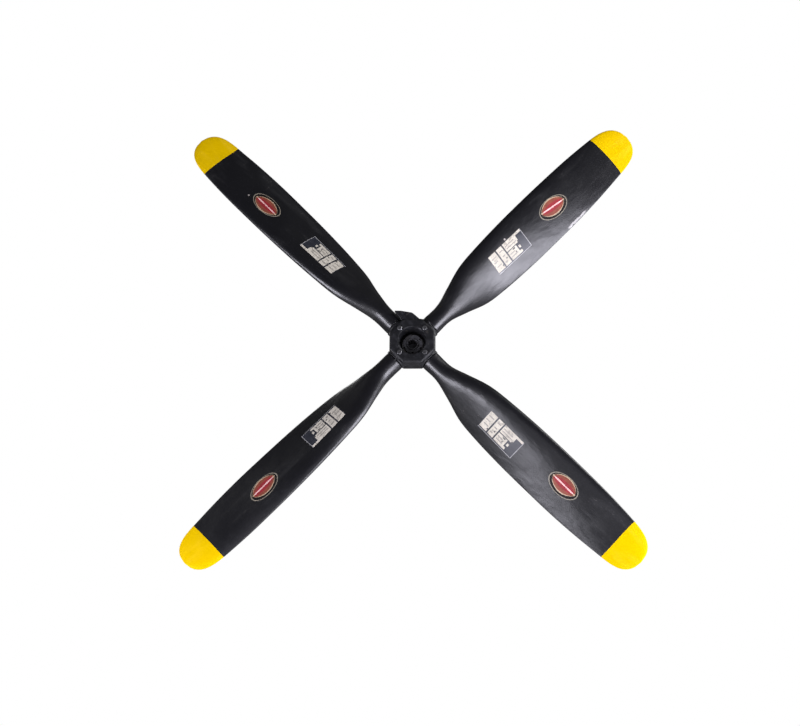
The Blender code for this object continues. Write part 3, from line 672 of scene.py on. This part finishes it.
def section_point(values, angle, radius, swell=0.0):
    """A point of the blade's surface, in the blade's own axes."""
    chord, thickness, sweep, twist, roundness = values
    bulge = CAMBER_SHARE * (1 - roundness)
    half = half_thickness(angle, thickness, roundness) + swell * abs(sin(angle))
    side = 1 + bulge if sin(angle) >= 0 else -(1 - bulge)
    x = (chord / 2 + swell) * cos(angle) + sweep
    y = half * side - bulge * thickness * CAMBER_DROP
    c, s = cos(twist), sin(twist)
    return Vector((x * c - y * s, x * s + y * c, radius))


def front_point(radius, across, lift):
    """A point above the blade's front surface, this far across from mid-chord."""
    values = section(radius / RADIUS)
    angle = acos(max(-1.0, min(1.0, 2 * across / values[0])))
    step = 0.004
    here = section_point(values, angle, radius)
    along = section_point(section((radius + step * 0.1) / RADIUS), angle, radius + step * 0.1)
    over = section_point(values, angle + step, radius)
    return here + (over - here).cross(along - here).normalized() * lift


def spread(start, end, count):
    return [start + (end - start) * i / count for i in range(count)]


def ring_shares():
    """Where the blade's rings lie: closer together where the outline turns quickly."""
    shares = spread(0.0845, 0.145, 8) + spread(0.145, 0.36, 34) + spread(0.36, 0.895, 44)
    shares += spread(0.895, YELLOW_FROM, 1) + [YELLOW_FROM, YELLOW_FROM + 0.0003]
    shares += spread(0.905, 0.965, 14)
    shares += [1 - 0.035 * cos(k / 16 * pi / 2) for k in range(16)]
    return shares + [0.99997]


def masking_line(angle, number):
    """How far the hand-masked edge of the yellow strays along the blade."""
    bow = MASK_BOWS[number - 1] * max(sin(angle), 0.0)
    return (0.6 * sin(angle + number) + 0.4 * sin(3 * angle + 2 * number)) * MM + bow


def blade_rings(number):
    angles = turns(AROUND_BLADE)
    rings = [ring(TENON_R, ROOT_IN + GAP, angles), ring(TENON_R, SHOULDER, angles)]
    for inset, rise in ((2.4, 0.0), (1.2, 0.35), (0.45, 1.0), (0.0, 2.2)):
        rings.append(ring(SHANK_R - inset * MM, SHOULDER + rise * MM, angles))
    for share in ring_shares():
        values = section(share)
        swell = PAINT_STEP if share > YELLOW_FROM else 0.0
        if abs(share - YELLOW_FROM) > 0.001:
            rings.append([section_point(values, a, share * RADIUS, swell) for a in angles])
            continue
        radii = [share * RADIUS + masking_line(a, number) for a in angles]
        rings.append([section_point(values, a, r, swell) for a, r in zip(angles, radii)])
    return rings


def store(mesh, name, kind, values):
    made = mesh.attributes.new(name, kind, "POINT")
    made.data.foreach_set("vector" if kind == "FLOAT_VECTOR" else "value", values)


def store_local(mesh, number):
    """Keeps each point's place in the blade's own axes, for the shaders."""
    values = []
    for vertex in mesh.vertices:
        x, y, z = vertex.co
        values += (x, y, z + number * BLADE_STEP)
    store(mesh, "local", "FLOAT_VECTOR", values)


def build_blade(number):
    mesh = loft(blade_rings(number), "blade")
    store_local(mesh, number)
    rim = [cos(i % AROUND_BLADE * tau / AROUND_BLADE) for i in range(len(mesh.vertices))]
    store(mesh, "rim", "FLOAT", rim)
    yellow_row = (ring_shares().index(YELLOW_FROM) + ROOT_RINGS) * AROUND_BLADE
    for face in mesh.polygons:
        face.material_index = int(min(face.vertices) >= yellow_row)
    show_inked(f"blade_{number}", mesh, number, "black_blade_paint", (BLADE_BLACK, TIP_YELLOW))


# ---- decals


def laid(u, v, place):
    """A decal's point as along and across the blade, for where the decal is laid."""
    along, across, degrees = place
    turn = radians(degrees)
    outboard = along * MM + u * cos(turn) - v * sin(turn)
    return outboard, across * MM + u * sin(turn) + v * cos(turn)


def lay(shape, place, rows, height, material, closed=False):
    """Lays rows of (u, v) points over the blade's front as a film, its edge turned down."""
    placed = [[laid(u, v, place) for u, v in row] for row in rows]
    lifted = [[shape.verts.new(front_point(*point, height)) for point in row] for row in placed]
    faces = []
    for low, high in zip(lifted, lifted[1:]):
        faces += skin_between(shape, low, high, closed)
    rims = [(placed[-1], lifted[-1]), (placed[0], lifted[0])]
    if not closed:
        rims = [(rim_of(placed), rim_of(lifted))]
    for points, tops in rims:
        feet = [shape.verts.new(front_point(*point, height - FILM)) for point in points]
        faces += skin_between(shape, tops, feet)
    for face in faces:
        face.material_index = material


def rim_of(grid):
    """What lies along the edge of a four-sided grid, in order round it."""
    right = [row[-1] for row in grid[1:-1]]
    left = [row[0] for row in grid[-2:0:-1]]
    return [*grid[0], *right, *reversed(grid[-1]), *left]


def show_decal(node, shape, number, slot, inks):
    mesh = to_mesh(shape, node)
    store_local(mesh, number)
    show_inked(f"{node}_{number}", mesh, number, slot, inks)


def show_inked(node, mesh, number, slot, inks):
    """Shows a mesh whose faces already say which of several materials they wear."""
    indices = [face.material_index for face in mesh.polygons]
    mesh.transform(UPRIGHT @ BLADE_PLACES[number - 1])
    made = show(node, mesh, f"blade_{number}", slot, *inks)
    made.data.polygons.foreach_set("material_index", indices)


def oval_rows(inner, outer, steps, sides=96):
    """Rows of an oval band, between two shares of the badge's size."""
    half_long, half_wide = BADGE_HALF
    rows = []
    for k in range(steps + 1):
        share = inner + (outer - inner) * k / steps
        long, wide = share * half_long, share * half_wide
        rows.append([(long * cos(a), wide * sin(a)) for a in turns(sides)])
    return rows


def lens_reach(t, half_wide):
    """Half the width of the badge's pointed field, at t from -1 to 1 along it."""
    return half_wide * max(1 - abs(t) ** 2.0, 0.0) ** 0.76


def lens_rows(outer, inner, side, slip, reach=1.0, steps=2):
    """One side of the pointed field, between two shares of its width: 0 is its long axis."""
    half_long, half_wide = FIELD_HALF
    rows = []
    for i in range(41):
        t = -cos(pi * i / 40)
        low = side * inner * lens_reach(t, half_wide)
        high = side * (outer * lens_reach(t, half_wide) + 0.02 * MM)
        u = t * half_long * reach
        rows.append([(u, slip + low + (high - low) * j / steps) for j in range(steps + 1)])
    return rows


def stroke_rows(slip):
    """A slender two-bladed shape along the field's long axis, a little askew."""
    half_long, half_wide = 0.93 * FIELD_HALF[0], 2.4 * MM
    rows = []
    for i in range(33):
        t = -1 + i / 16
        width = half_wide * (0.42 + 0.58 * sin(pi * min(abs(t) * 1.1, 1.0)) ** 0.7)
        if abs(t) > 0.97:
            width *= 0.6
        middle = slip - STROKE_SLOPE * t * half_long
        rows.append([(t * half_long, middle + width * j) for j in (-1, 0, 1)])
    return rows


def end_rows(side, slip):
    """A small cream cap over each end of the two-bladed shape."""
    half_long = FIELD_HALF[0]
    rows = []
    for share, width in ((0.80, 1.2), (0.88, 2.6), (0.95, 2.2), (0.985, 0.8)):
        u = side * share * half_long
        middle = slip - STROKE_SLOPE * u
        rows.append([(u, middle + width * MM * j) for j in (-1, 0, 1)])
    return rows


def hub_rows(slip):
    """A small boss at the middle of the two-bladed shape, as a band round its centre."""
    radii = (0.2 * MM, 1.4 * MM, 2.8 * MM)
    return [[(r * cos(a), slip + r * sin(a)) for a in turns(32)] for r in radii]


def build_badge(number):
    """An oval badge with a pointed red field, a two-bladed pictogram and no lettering."""
    slip = BADGE_SLIPS[number - 1] * FIELD_SLIP
    tan, black, cream, red, brown, white = range(len(BADGE_INKS))
    films = [(0.0, oval_rows(0.02, 0.935, 8), black, True)]
    films.append((0.02, oval_rows(0.935, 1.0, 2), tan, True))
    for side in (1, -1):
        films.append((0.04, lens_rows(0.93, 0.0, side, slip, 0.95, 5), brown, False))
        films.append((0.06, lens_rows(0.46, 0.0, side, slip, 0.93, 3), red, False))
        films.append((0.06, lens_rows(1.0, 0.87, side, slip), cream, False))
    films += [(0.09, stroke_rows(slip), white, False), (0.11, hub_rows(slip), white, True)]
    films += [(0.11, end_rows(side, slip), cream, False) for side in (-1, 1)]
    shape = bmesh.new()
    for rise, rows, ink, closed in films:
        lay(shape, BADGE_PLACES[number - 1], rows, DECAL_LIFT + rise * MM, ink, closed)
    show_decal("badge_decal", shape, number, "badge_red", BADGE_INKS)


def panel_rows(u0, u1, v0, v1):
    """A rectangle of the data decal: u is 0 to 1 outboard, v -1 to 1 to the leading edge."""
    half_long, half_wide = DATA_HALF
    columns = max(2, round((u1 - u0) * 40))
    lines = max(1, round((v1 - v0) * 10))
    rows = []
    for i in range(columns + 1):
        u = half_long * (2 * (u0 + (u1 - u0) * i / columns) - 1)
        rows.append([(u, half_wide * (v0 + (v1 - v0) * j / lines)) for j in range(lines + 1)])
    return rows


# Data decal: its outline, cream cells, grey marks and dark blots, as (u0, u1, v0, v1)
DATA_OUTLINE = ((0.988, 1.0, -1.0, 1.0), (0.0, 0.988, -1.0, -0.955))
DATA_CELLS = (
    (0.015, 0.22, -0.84, 1.0),
    (0.256, 0.412, -0.84, 1.0),
    (0.447, 0.705, -0.84, 0.06),
    (0.447, 0.815, 0.15, 1.0),
    (0.815, 0.985, 0.78, 1.0),
    (0.74, 0.79, -0.4, -0.12),
    (0.705, 0.77, -0.84, -0.6),
)
DATA_MARKS = (
    (0.045, 0.185, 0.52, 0.62),
    (0.045, 0.16, 0.1, 0.2),
    (0.06, 0.19, -0.36, -0.25),
    (0.285, 0.385, 0.56, 0.67),
    (0.3, 0.37, 0.04, 0.16),
    (0.28, 0.35, -0.56, -0.42),
    (0.475, 0.665, -0.6, -0.5),
    (0.475, 0.62, -0.3, -0.2),
    (0.475, 0.77, 0.34, 0.43),
    (0.475, 0.735, 0.6, 0.69),
)
DATA_BLOTS = (
    (0.219, 0.258, 0.3, 0.52),
    (0.411, 0.449, -0.34, -0.1),
    (0.19, 0.222, -0.62, -0.46),
    (0.35, 0.385, -0.3, -0.16),
    (0.615, 0.645, -0.48, -0.34),
    (0.585, 0.655, -0.1, 0.02),
    (0.78, 0.817, 0.15, 0.3),
)


def build_data_decal(number):
    """A data decal with plain cells, bars and blots where the lettering would be."""
    shape = bmesh.new()
    place = DATA_PLACES[number - 1]
    lay(shape, place, panel_rows(0.0, 1.0, -1.0, 1.0), DECAL_LIFT, 0)
    layers = (DATA_OUTLINE, DATA_CELLS, DATA_MARKS, DATA_BLOTS)
    for ink, panels in enumerate(layers, 1):
        height = DECAL_LIFT + (0.01 + 0.025 * ink) * MM
        for panel in panels:
            lay(shape, place, panel_rows(*panel), height, ink)
    show_decal("data_decal", shape, number, "data_decal_cream", DATA_INKS)


# ---- blade roots


def ferrule_mesh():
    bore = TENON_R + GAP
    outline = stepped(bore, SHOULDER - GAP, NECK_R, COLLAR_OUT, COLLAR_R, ROOT_IN, bore)
    pin_hole = pin_solid(1.5 * NECK_R, PIN_R + GAP)
    return worked(turned("ferrule", outline), (CUT, pin_hole), (CUT, collar_slot()))


def pin_solid(half_length, radius):
    mesh = turned("pin", stepped(0, half_length, radius, -half_length, 0), SMALL)
    mesh.transform(Matrix.Translation((0, 0, PIN_AT)) @ Matrix.Rotation(pi / 2, 4, "Y"))
    return mesh


def collar_slot():
    """The arc slot in the collar that the lock screw's dog point runs in."""
    floor = COLLAR_R - SLOT_DEPTH
    outside = COLLAR_R + 2 * MM
    near = LOCK_AT - DOG_R - GAP
    far = LOCK_AT + DOG_R + GAP
    reach = asin((DOG_R + GAP) / floor) + radians(1)
    start = pi / 2 - PITCH_COARSE - reach
    end = pi / 2 - PITCH_FINE + reach
    rings = []
    for i in range(25):
        angle = start + (end - start) * i / 24
        corners = ((floor, near), (outside, near), (outside, far), (floor, far))
        rings.append([Vector((r * cos(angle), r * sin(angle), z)) for r, z in corners])
    return loft(rings, "collar_slot")


def build_blades():
    ferrule = ferrule_mesh()
    pin = pin_solid(NECK_R - MM, PIN_R)
    for number, place in enumerate(BLADE_PLACES, 1):
        body = f"blade_{number}"
        build_blade(number)
        build_badge(number)
        build_data_decal(number)
        for node, mesh in (("root_ferrule", ferrule), ("root_pin", pin)):
            show(f"{node}_{number}", moved(mesh, UPRIGHT @ place), body, "plated_steel", STEEL)


# ---- hub


def octagon_body():
    corner = HUB_FLAT / cos(pi / 8)
    outline = filleted(stepped(0, HUB_FRONT, corner, HUB_REAR, 0), 8 * MM, False, 5)
    return turned("barrel", outline, 8, 0.0, pi / 8)


def forging(half):
    """The barrel's front half (1) or rear half (-1) as a forging, before it is machined."""
    steps = []
    for place in BLADE_PLACES:
        boss = turned("boss", stepped(0, BOSS_OUT, BOSS_R, 40 * MM, 0), ROUND, 1.8 * MM)
        steps.append((JOIN, moved(boss, place)))
    if half == 1:
        lug = [(x * MM, y * MM) for x, y in filleted(LUG, 3.5, True)]
        steps.append((JOIN, prism("lug", lug, LUG_BACK, LUG_FRONT, 1.4 * MM)))
    else:
        boss = stepped(0, HUB_REAR + 10 * MM, REAR_BOSS_R, REAR_BOSS_END, 0)
        steps.append((JOIN, turned("rear_boss", boss, ROUND, 3 * MM)))
    reach = 0.2
    near = PLANE_Z + half * GAP / 2
    low, high = (-reach, near) if half == 1 else (near, reach)
    steps.append((CUT, block("split", (-reach, -reach, low), (reach, reach, high))))
    return softened(worked(octagon_body(), *steps))


def softened(mesh):
    """Rounds a solid's edges and fills its corners as a forging's are."""
    made = linked("softened", mesh)
    configured(made.modifiers.new("voxels", "REMESH"), mode="VOXEL", voxel_size=VOXEL)
    configured(made.modifiers.new("relax", "SMOOTH"), factor=0.5, iterations=10)
    return applied(made)


def recess_tool():
    """The front recess with its conical mouth, and the bore for the bushes behind it."""
    over = 0.9 * MM
    mouth = RECESS_MOUTH_R + over
    outline = (
        *stepped(0, HUB_FRONT + 8 * MM, mouth + 8 * MM),
        *((mouth, HUB_FRONT), (RECESS_MOUTH_R, HUB_FRONT - over)),
        *((RECESS_R, HUB_FRONT - RECESS_CONE), (RECESS_R, RECESS_FLOOR + MM)),
        *stepped(RECESS_R - MM, RECESS_FLOOR, BUSH_R, REAR_BOSS_END - 8 * MM, 0),
    )
    return turned("recess", outline, ROUND, 0.0)


def socket_tools():
    """Each blade's socket: a wide pocket for the collar and a narrower hole for the neck."""
    neck, collar = NECK_R + 0.4 * MM, COLLAR_R + 0.4 * MM
    outline = stepped(0, BOSS_OUT + 8 * MM, neck, COLLAR_OUT + GAP, collar, ROOT_IN - GAP, 0)
    for place in BLADE_PLACES:
        yield CUT, moved(turned("socket", outline, 64, 0.0), place)


def bolt_hole_tools():
    bore, mouth = BOLT_HEAD_R + 0.8 * MM, BOLT_HEAD_R + 1.6 * MM
    seat, rear = HUB_REAR + COUNTERBORE, HUB_REAR - 8 * MM
    hole = stepped(0, BOLT_TIP + 2 * MM, BOLT_R + GAP, seat, bore, HUB_REAR + MM)
    outline = (*hole, (mouth, HUB_REAR - 0.2 * MM), (mouth, rear), (0, rear))
    for spot in BOLT_SPOTS:
        yield CUT, moved(turned("bolt_hole", outline, SMALL, 0.0), spot)


def lock_hole_tools():
    """The lock screws' holes, each with a shallow spot face for the screw's head."""
    seat = HUB_FRONT - 0.05 * MM
    low = PLANE_Z + COLLAR_R - 3 * MM
    outline = stepped(0, HUB_FRONT + 8 * MM, 9.5 * MM, seat, BOLT_R + GAP, low, 0)
    for spot in LOCK_SPOTS:
        yield CUT, moved(turned("lock_hole", outline, SMALL, 0.0), spot)


def build_hub():
    for node, half, more in (("hub_front_half", 1, lock_hole_tools()), ("hub_rear_half", -1, ())):
        cuts = [(CUT, recess_tool()), *socket_tools(), *bolt_hole_tools(), *more]
        mesh = moved(worked(forging(half), *cuts), UPRIGHT)
        show(node, mesh, "hub", "black_hub_paint", HUB_BLACK)


def build_bushes():
    inner, outer, flange = JOURNAL_R + GAP, BUSH_R - GAP, BUSH_FLANGE_R
    front, rear = RECESS_FLOOR + GAP, REAR_BOSS_END - GAP
    front_end, rear_end = RECESS_FLOOR - BUSH_LENGTH, REAR_BOSS_END + BUSH_LENGTH
    outlines = {
        "front_bush": stepped(inner, front + BUSH_FLANGE, flange, front, outer, front_end, inner),
        "rear_bush": stepped(inner, rear_end, outer, rear, flange, rear - BUSH_FLANGE, inner),
    }
    for node, outline in outlines.items():
        show(node, moved(turned(node, outline), UPRIGHT), "hub", "bearing_bronze", BRONZE)


# ---- fasteners


def hub_bolt_mesh():
    top = HUB_REAR + COUNTERBORE - GAP - WASHER - GAP
    floor = top - BOLT_HEAD
    chamfer = 0.8 * MM
    thread = [(BOLT_R, BOLT_TIP - chamfer)]
    for k in range(14):
        z = BOLT_TIP - chamfer - (k + 1) * 1.25 * MM
        thread += [(BOLT_R - 0.5 * MM, z + 0.62 * MM), (BOLT_R, z)]
    outline = (
        *((0, BOLT_TIP), (BOLT_R - chamfer, BOLT_TIP)),
        *thread,
        *stepped(BOLT_R, top, BOLT_HEAD_R, floor + chamfer),
        *((BOLT_HEAD_R - chamfer, floor), (0, floor)),
    )
    socket = prism("socket", hexagon(BOLT_SOCKET), floor - 5 * MM, floor + 4 * MM)
    return worked(turned("bolt", outline, SMALL, 0.15 * MM), (CUT, socket))


def bolt_washer_mesh():
    seat = HUB_REAR + COUNTERBORE - GAP
    bore = BOLT_R + GAP
    outline = stepped(bore, seat, BOLT_HEAD_R + GAP, seat - WASHER, bore)
    return turned("washer", outline, SMALL, 0.3 * MM)


def lock_screw_mesh():
    """A hexagon screw with a chamfered head and a plain dog point."""
    seat = HUB_FRONT + GAP
    top = seat + LOCK_HEAD
    tip = PLANE_Z + COLLAR_R - SLOT_DEPTH + GAP
    neck = stepped(0, seat + 2 * MM, BOLT_R, tip + 5 * MM)
    shaft = (*neck, (DOG_R, tip + 4 * MM), (DOG_R, tip), (0, tip))
    corner = LOCK_FLATS / cos(pi / 6) + 0.3 * MM
    upper = ((0, top), (LOCK_FLATS - 0.6 * MM, top), (corner, top - 1.5 * MM))
    chamfers = (*upper, (corner, seat + 0.9 * MM), (LOCK_FLATS - 0.2 * MM, seat), (0, seat))
    dish = ((0, top + MM), (3.2 * MM, top + MM), (3.2 * MM, top - 0.1 * MM), (0, top - 0.5 * MM))
    return worked(
        prism("head", hexagon(LOCK_FLATS), seat, top),
        (COMMON, turned("chamfers", chamfers, 60, 0.25 * MM)),
        (CUT, turned("dish", dish, SMALL, 0.0)),
        (JOIN, turned("shaft", shaft, SMALL, 0.2 * MM)),
    )


def build_fasteners():
    bolt, washer, screw = hub_bolt_mesh(), bolt_washer_mesh(), lock_screw_mesh()
    for number, spot in enumerate(BOLT_SPOTS, 1):
        for node, mesh in (("hub_bolt", bolt), ("bolt_washer", washer)):
            show(f"{node}_{number}", moved(mesh, UPRIGHT @ spot), "hub", "plated_steel", STEEL)
    for number, spot in enumerate(LOCK_SPOTS, 1):
        place = UPRIGHT @ spot @ Matrix.Rotation(BLADE_ANGLES[number - 1], 4, "Z")
        show(f"blade_lock_screw_{number}", moved(screw, place), "hub", "plated_steel", SCREW)


# ---- spindle side


def thread_outline(start, end, pitch, depth):
    """Ridges down a threaded length, as (radius, z) points from start to end."""
    count = int((start - end) / pitch)
    points = [(THREAD_R, start)]
    for k in range(count):
        z = start - (k + 1) * pitch
        points += [(THREAD_R - depth, z + pitch / 2), (THREAD_R, z)]
    return points + [(THREAD_R, end)]


def spindle_mesh():
    end = SPINDLE_END
    step = RECESS_FLOOR + 3.45 * MM
    back = SPINDLE_SHOULDER - SHOULDER_THICK
    outline = (
        *stepped(0, SPINDLE_BORE_FLOOR, SPINDLE_BORE_R, end - 1.5 * MM),
        *((SPINDLE_BORE_R + 1.5 * MM, end), (THREAD_R - MM, end)),
        *thread_outline(end - MM, step, 1.5 * MM, 0.55 * MM),
        (JOURNAL_R, step),
        *stepped(JOURNAL_R, SPINDLE_SHOULDER, SHOULDER_R, back, JOURNAL_R, 0, 0),
    )
    low = (-2.6 * MM, THREAD_R - 2.4 * MM, step - MM)
    high = (2.6 * MM, THREAD_R + 2 * MM, end + 2 * MM)
    blank = turned("spindle", outline, ROUND, 0.2 * MM)
    return worked(blank, (CUT, block("keyway", low, high)))


def nut_mesh():
    low = RECESS_FLOOR + 8.1 * MM
    high = low + 12 * MM
    chamfer = 1.2 * MM
    bore = THREAD_R + GAP
    top = ((bore, high - MM), (bore + MM, high), (NUT_R - chamfer, high), (NUT_R, high - chamfer))
    outline = (*top, (NUT_R, low + chamfer), (NUT_R - chamfer, low), (bore, low))
    corners = ((NUT_R - 5 * MM, -3.5 * MM, low - 2 * MM), (NUT_R + 3 * MM, 3.5 * MM, high + 2 * MM))
    slots = []
    for angle in turns(NUT_SLOTS, pi / 2):
        slots.append((CUT, moved(block("slot", *corners), Matrix.Rotation(angle, 4, "Z"))))
    return worked(turned("nut", outline), *slots)


def lock_washer_mesh():
    """A thin ring with a tang in the keyway and a tab bent into a nut slot."""
    low = RECESS_FLOOR + 6.25 * MM
    high = low + 1.5 * MM
    bore = THREAD_R + GAP
    ring = turned("washer", stepped(bore, high, NUT_R - MM, low, bore))
    tang_low = (-2.2 * MM, THREAD_R - 2 * MM, low + 0.1 * MM)
    tang = block("tang", tang_low, (2.2 * MM, THREAD_R + 3 * MM, high - 0.1 * MM))
    tab_low = (-2.8 * MM, NUT_R - 4.4 * MM, low + 0.2 * MM)
    tab = block("tab", tab_low, (2.8 * MM, NUT_R - 2.9 * MM, high + 5 * MM))
    return worked(ring, (JOIN, tang), (JOIN, tab))


def washer_mesh(inner, low, thick):
    return turned("thrust_washer", stepped(inner, low + thick, BUSH_FLANGE_R, low, inner))


def flange_mesh():
    high = FLANGE_THICK
    bore = JOURNAL_R + GAP
    mouth = stepped(0, high + 2 * MM, 5.8 * MM, high - 0.5 * MM)
    hole = (*mouth, (2.8 * MM, high - 3.5 * MM), (2.8 * MM, -4 * MM), (0, -4 * MM))
    holes = []
    for spot in spots(FLANGE_SCREW_CIRCLE, turns(FLANGE_SCREWS, FIRST_BLADE)):
        holes.append((CUT, moved(turned("hole", hole, SMALL, 0.0), spot)))
    return worked(turned("flange", stepped(bore, high, FLANGE_R, 0, bore), ROUND, 1.5 * MM), *holes)


def build_stand():
    front_washer = washer_mesh(THREAD_R + GAP, RECESS_FLOOR + 3.75 * MM, 2.2 * MM)
    rear_washer = washer_mesh(JOURNAL_R + GAP, SPINDLE_SHOULDER + GAP, 2.4 * MM)
    pieces = (
        ("wall_flange", flange_mesh(), "black_hub_paint", HUB_BLACK),
        ("spindle", spindle_mesh(), "dark_steel", DARK_STEEL),
        ("front_thrust_washer", front_washer, "plated_steel", STEEL),
        ("rear_thrust_washer", rear_washer, "plated_steel", STEEL),
        ("nut_lock_washer", lock_washer_mesh(), "dark_steel", DARK_STEEL),
        ("spindle_nut", nut_mesh(), "dark_steel", DARK_STEEL),
    )
    for node, mesh, slot, material in pieces:
        show(node, moved(mesh, UPRIGHT), "wall_mount", slot, material)


# ---- studio

TARGET = Vector((0, -PLANE_Z, 0))
FLOOR_Z = -2.2
SURROUND_LIGHT = 0.075  # how strong the white surround is as a light


def add_floor():
    mesh = block("floor", (-14, -14, FLOOR_Z - 0.02), (14, 14, FLOOR_Z))
    mesh.materials.append(floor_finish())
    linked("floor", mesh)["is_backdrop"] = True


def aimed(name, data, place):
    """A light or the camera at this place, facing the propeller."""
    made = linked(name, data)
    made.location = place
    made.rotation_mode = "QUATERNION"
    made.rotation_quaternion = (TARGET - made.location).to_track_quat("-Z", "Y")
    return made


def add_light(name, place, size, watts, colour=(1, 1, 1)):
    lamp = bpy.data.lights.new(name, "AREA")
    lamp.size, lamp.size_y = size
    configured(lamp, shape="RECTANGLE", energy=watts, color=colour)
    aimed(name, lamp, place).visible_camera = False


def from_target(azimuth, elevation, distance):
    """A place at this bearing in degrees, right and up, from the front of the propeller."""
    a, e = radians(azimuth), radians(elevation)
    return TARGET + Vector((sin(a) * cos(e), -cos(a) * cos(e), sin(e))) * distance


def add_world():
    """A white surround, seen at full strength by the camera and dimmer as a light."""
    world = bpy.data.worlds.new("studio")
    bpy.context.scene.world = world
    world.use_nodes = True
    tree = world.node_tree
    glow = tree.nodes["Background"].inputs
    glow["Color"].default_value = (1, 1, 1, 1)
    seen = tree.nodes.new("ShaderNodeLightPath").outputs["Is Camera Ray"]
    level = tree.nodes.new("ShaderNodeMapRange")
    level.inputs["To Min"].default_value = SURROUND_LIGHT
    tree.links.new(seen, level.inputs["Value"])
    tree.links.new(level.outputs["Result"], glow["Strength"])


def add_camera():
    camera = bpy.data.cameras.new("camera")
    configured(camera, sensor_width=36, lens=76.93, shift_x=-0.0157, shift_y=-0.0243)
    configured(camera, clip_start=0.05, clip_end=100)
    made = aimed("camera", camera, from_target(1.90, -16.10, 5.024))
    made.rotation_quaternion @= Matrix.Rotation(radians(0.254), 3, "Z").to_quaternion()
    bpy.context.scene.camera = made


def build_studio():
    add_floor()
    add_world()
    add_camera()
    cool = (0.90, 0.89, 1.0)
    add_light("right_key", from_target(62, -28, 3.0), (2.1, 1.3), 96, cool)
    add_light("left_key", from_target(-49, -24, 3.0), (1.5, 0.9), 64, cool)
    add_light("low_front", from_target(4, -58, 2.0), (1.2, 0.6), 3)
    add_light("front_fill", from_target(6, -14, 3.4), (2.4, 1.2), 5, cool)
    add_light("right_side", from_target(78, 24, 3.0), (1.4, 1.8), 60)
    add_light("left_side", from_target(-78, 14, 3.0), (1.2, 1.6), 8)
    add_light("back_left", (-2.2, 3.0, 1.2), (2.0, 2.0), 42)
    add_light("back_right", (2.4, 2.4, 0.6), (1.6, 2.0), 32)
    bpy.context.scene.view_settings.view_transform = "Standard"


# ---- the whole scene

WORN_WOOD = (0.42, 0.38, 0.36)
BLADE_BLACK = blade_paint("satin_black_blade", (0.0036, 0.0036, 0.0058), WORN_WOOD, 0.32, False)
TIP_YELLOW = blade_paint("yellow_tip", (0.88, 0.57, 0.0), (0.30, 0.27, 0.20), 0.42, True)
HUB_BLACK = hub_paint("black_hub_forging", (0.0052, 0.0054, 0.0070), (0.22, 0.22, 0.23), 0.47)
STEEL = bare_metal("plated_steel", (0.56, 0.56, 0.57), (0.36, 0.34, 0.31), 0.26)
SCREW = bare_metal("dulled_screw", (0.19, 0.19, 0.20), (0.05, 0.048, 0.05), 0.36)
DARK_STEEL = bare_metal("blackened_steel", (0.13, 0.13, 0.145), (0.07, 0.066, 0.064), 0.42, 0.4)
BRONZE = bare_metal("bearing_bronze", (0.50, 0.30, 0.13), (0.30, 0.17, 0.08), 0.30)
BADGE_INKS = (
    printed_film("badge_ring", (0.27, 0.24, 0.19), (0.19, 0.165, 0.125), 0.36),
    printed_film("badge_gap", (0.008, 0.006, 0.006), (0.014, 0.010, 0.009), 0.48, 1.3),
    printed_film("badge_inner_ring", (0.55, 0.40, 0.27), (0.42, 0.30, 0.19), 0.36),
    printed_film("badge_field_middle", (0.33, 0.026, 0.036), (0.26, 0.022, 0.026), 0.42, 1.4),
    printed_film("badge_field_outside", (0.29, 0.075, 0.045), (0.20, 0.045, 0.028), 0.42, 1.4),
    printed_film("badge_pictogram", (0.95, 0.66, 0.64), (0.85, 0.40, 0.40), 0.36),
)
DATA_INKS = (
    printed_film("data_film", (0.018, 0.020, 0.030), (0.028, 0.030, 0.042), 0.33, 1.62),
    printed_film("data_outline", (0.46, 0.46, 0.47), (0.34, 0.33, 0.33), 0.36),
    smudged_film("data_panel", (0.72, 0.67, 0.58), (0.25, 0.23, 0.20), 0.50),
    printed_film("data_marks", (0.27, 0.25, 0.22), (0.38, 0.35, 0.31), 0.40),
    printed_film("data_blots", (0.045, 0.042, 0.042), (0.10, 0.09, 0.085), 0.40),
)

build_blades()
build_hub()
build_bushes()
build_fasteners()
build_stand()
build_studio()

box_lists = {"cad": CAD_BOX, "visual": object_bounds()}
{name: [list(corner) for corner in box] for name, box in box_lists.items()}
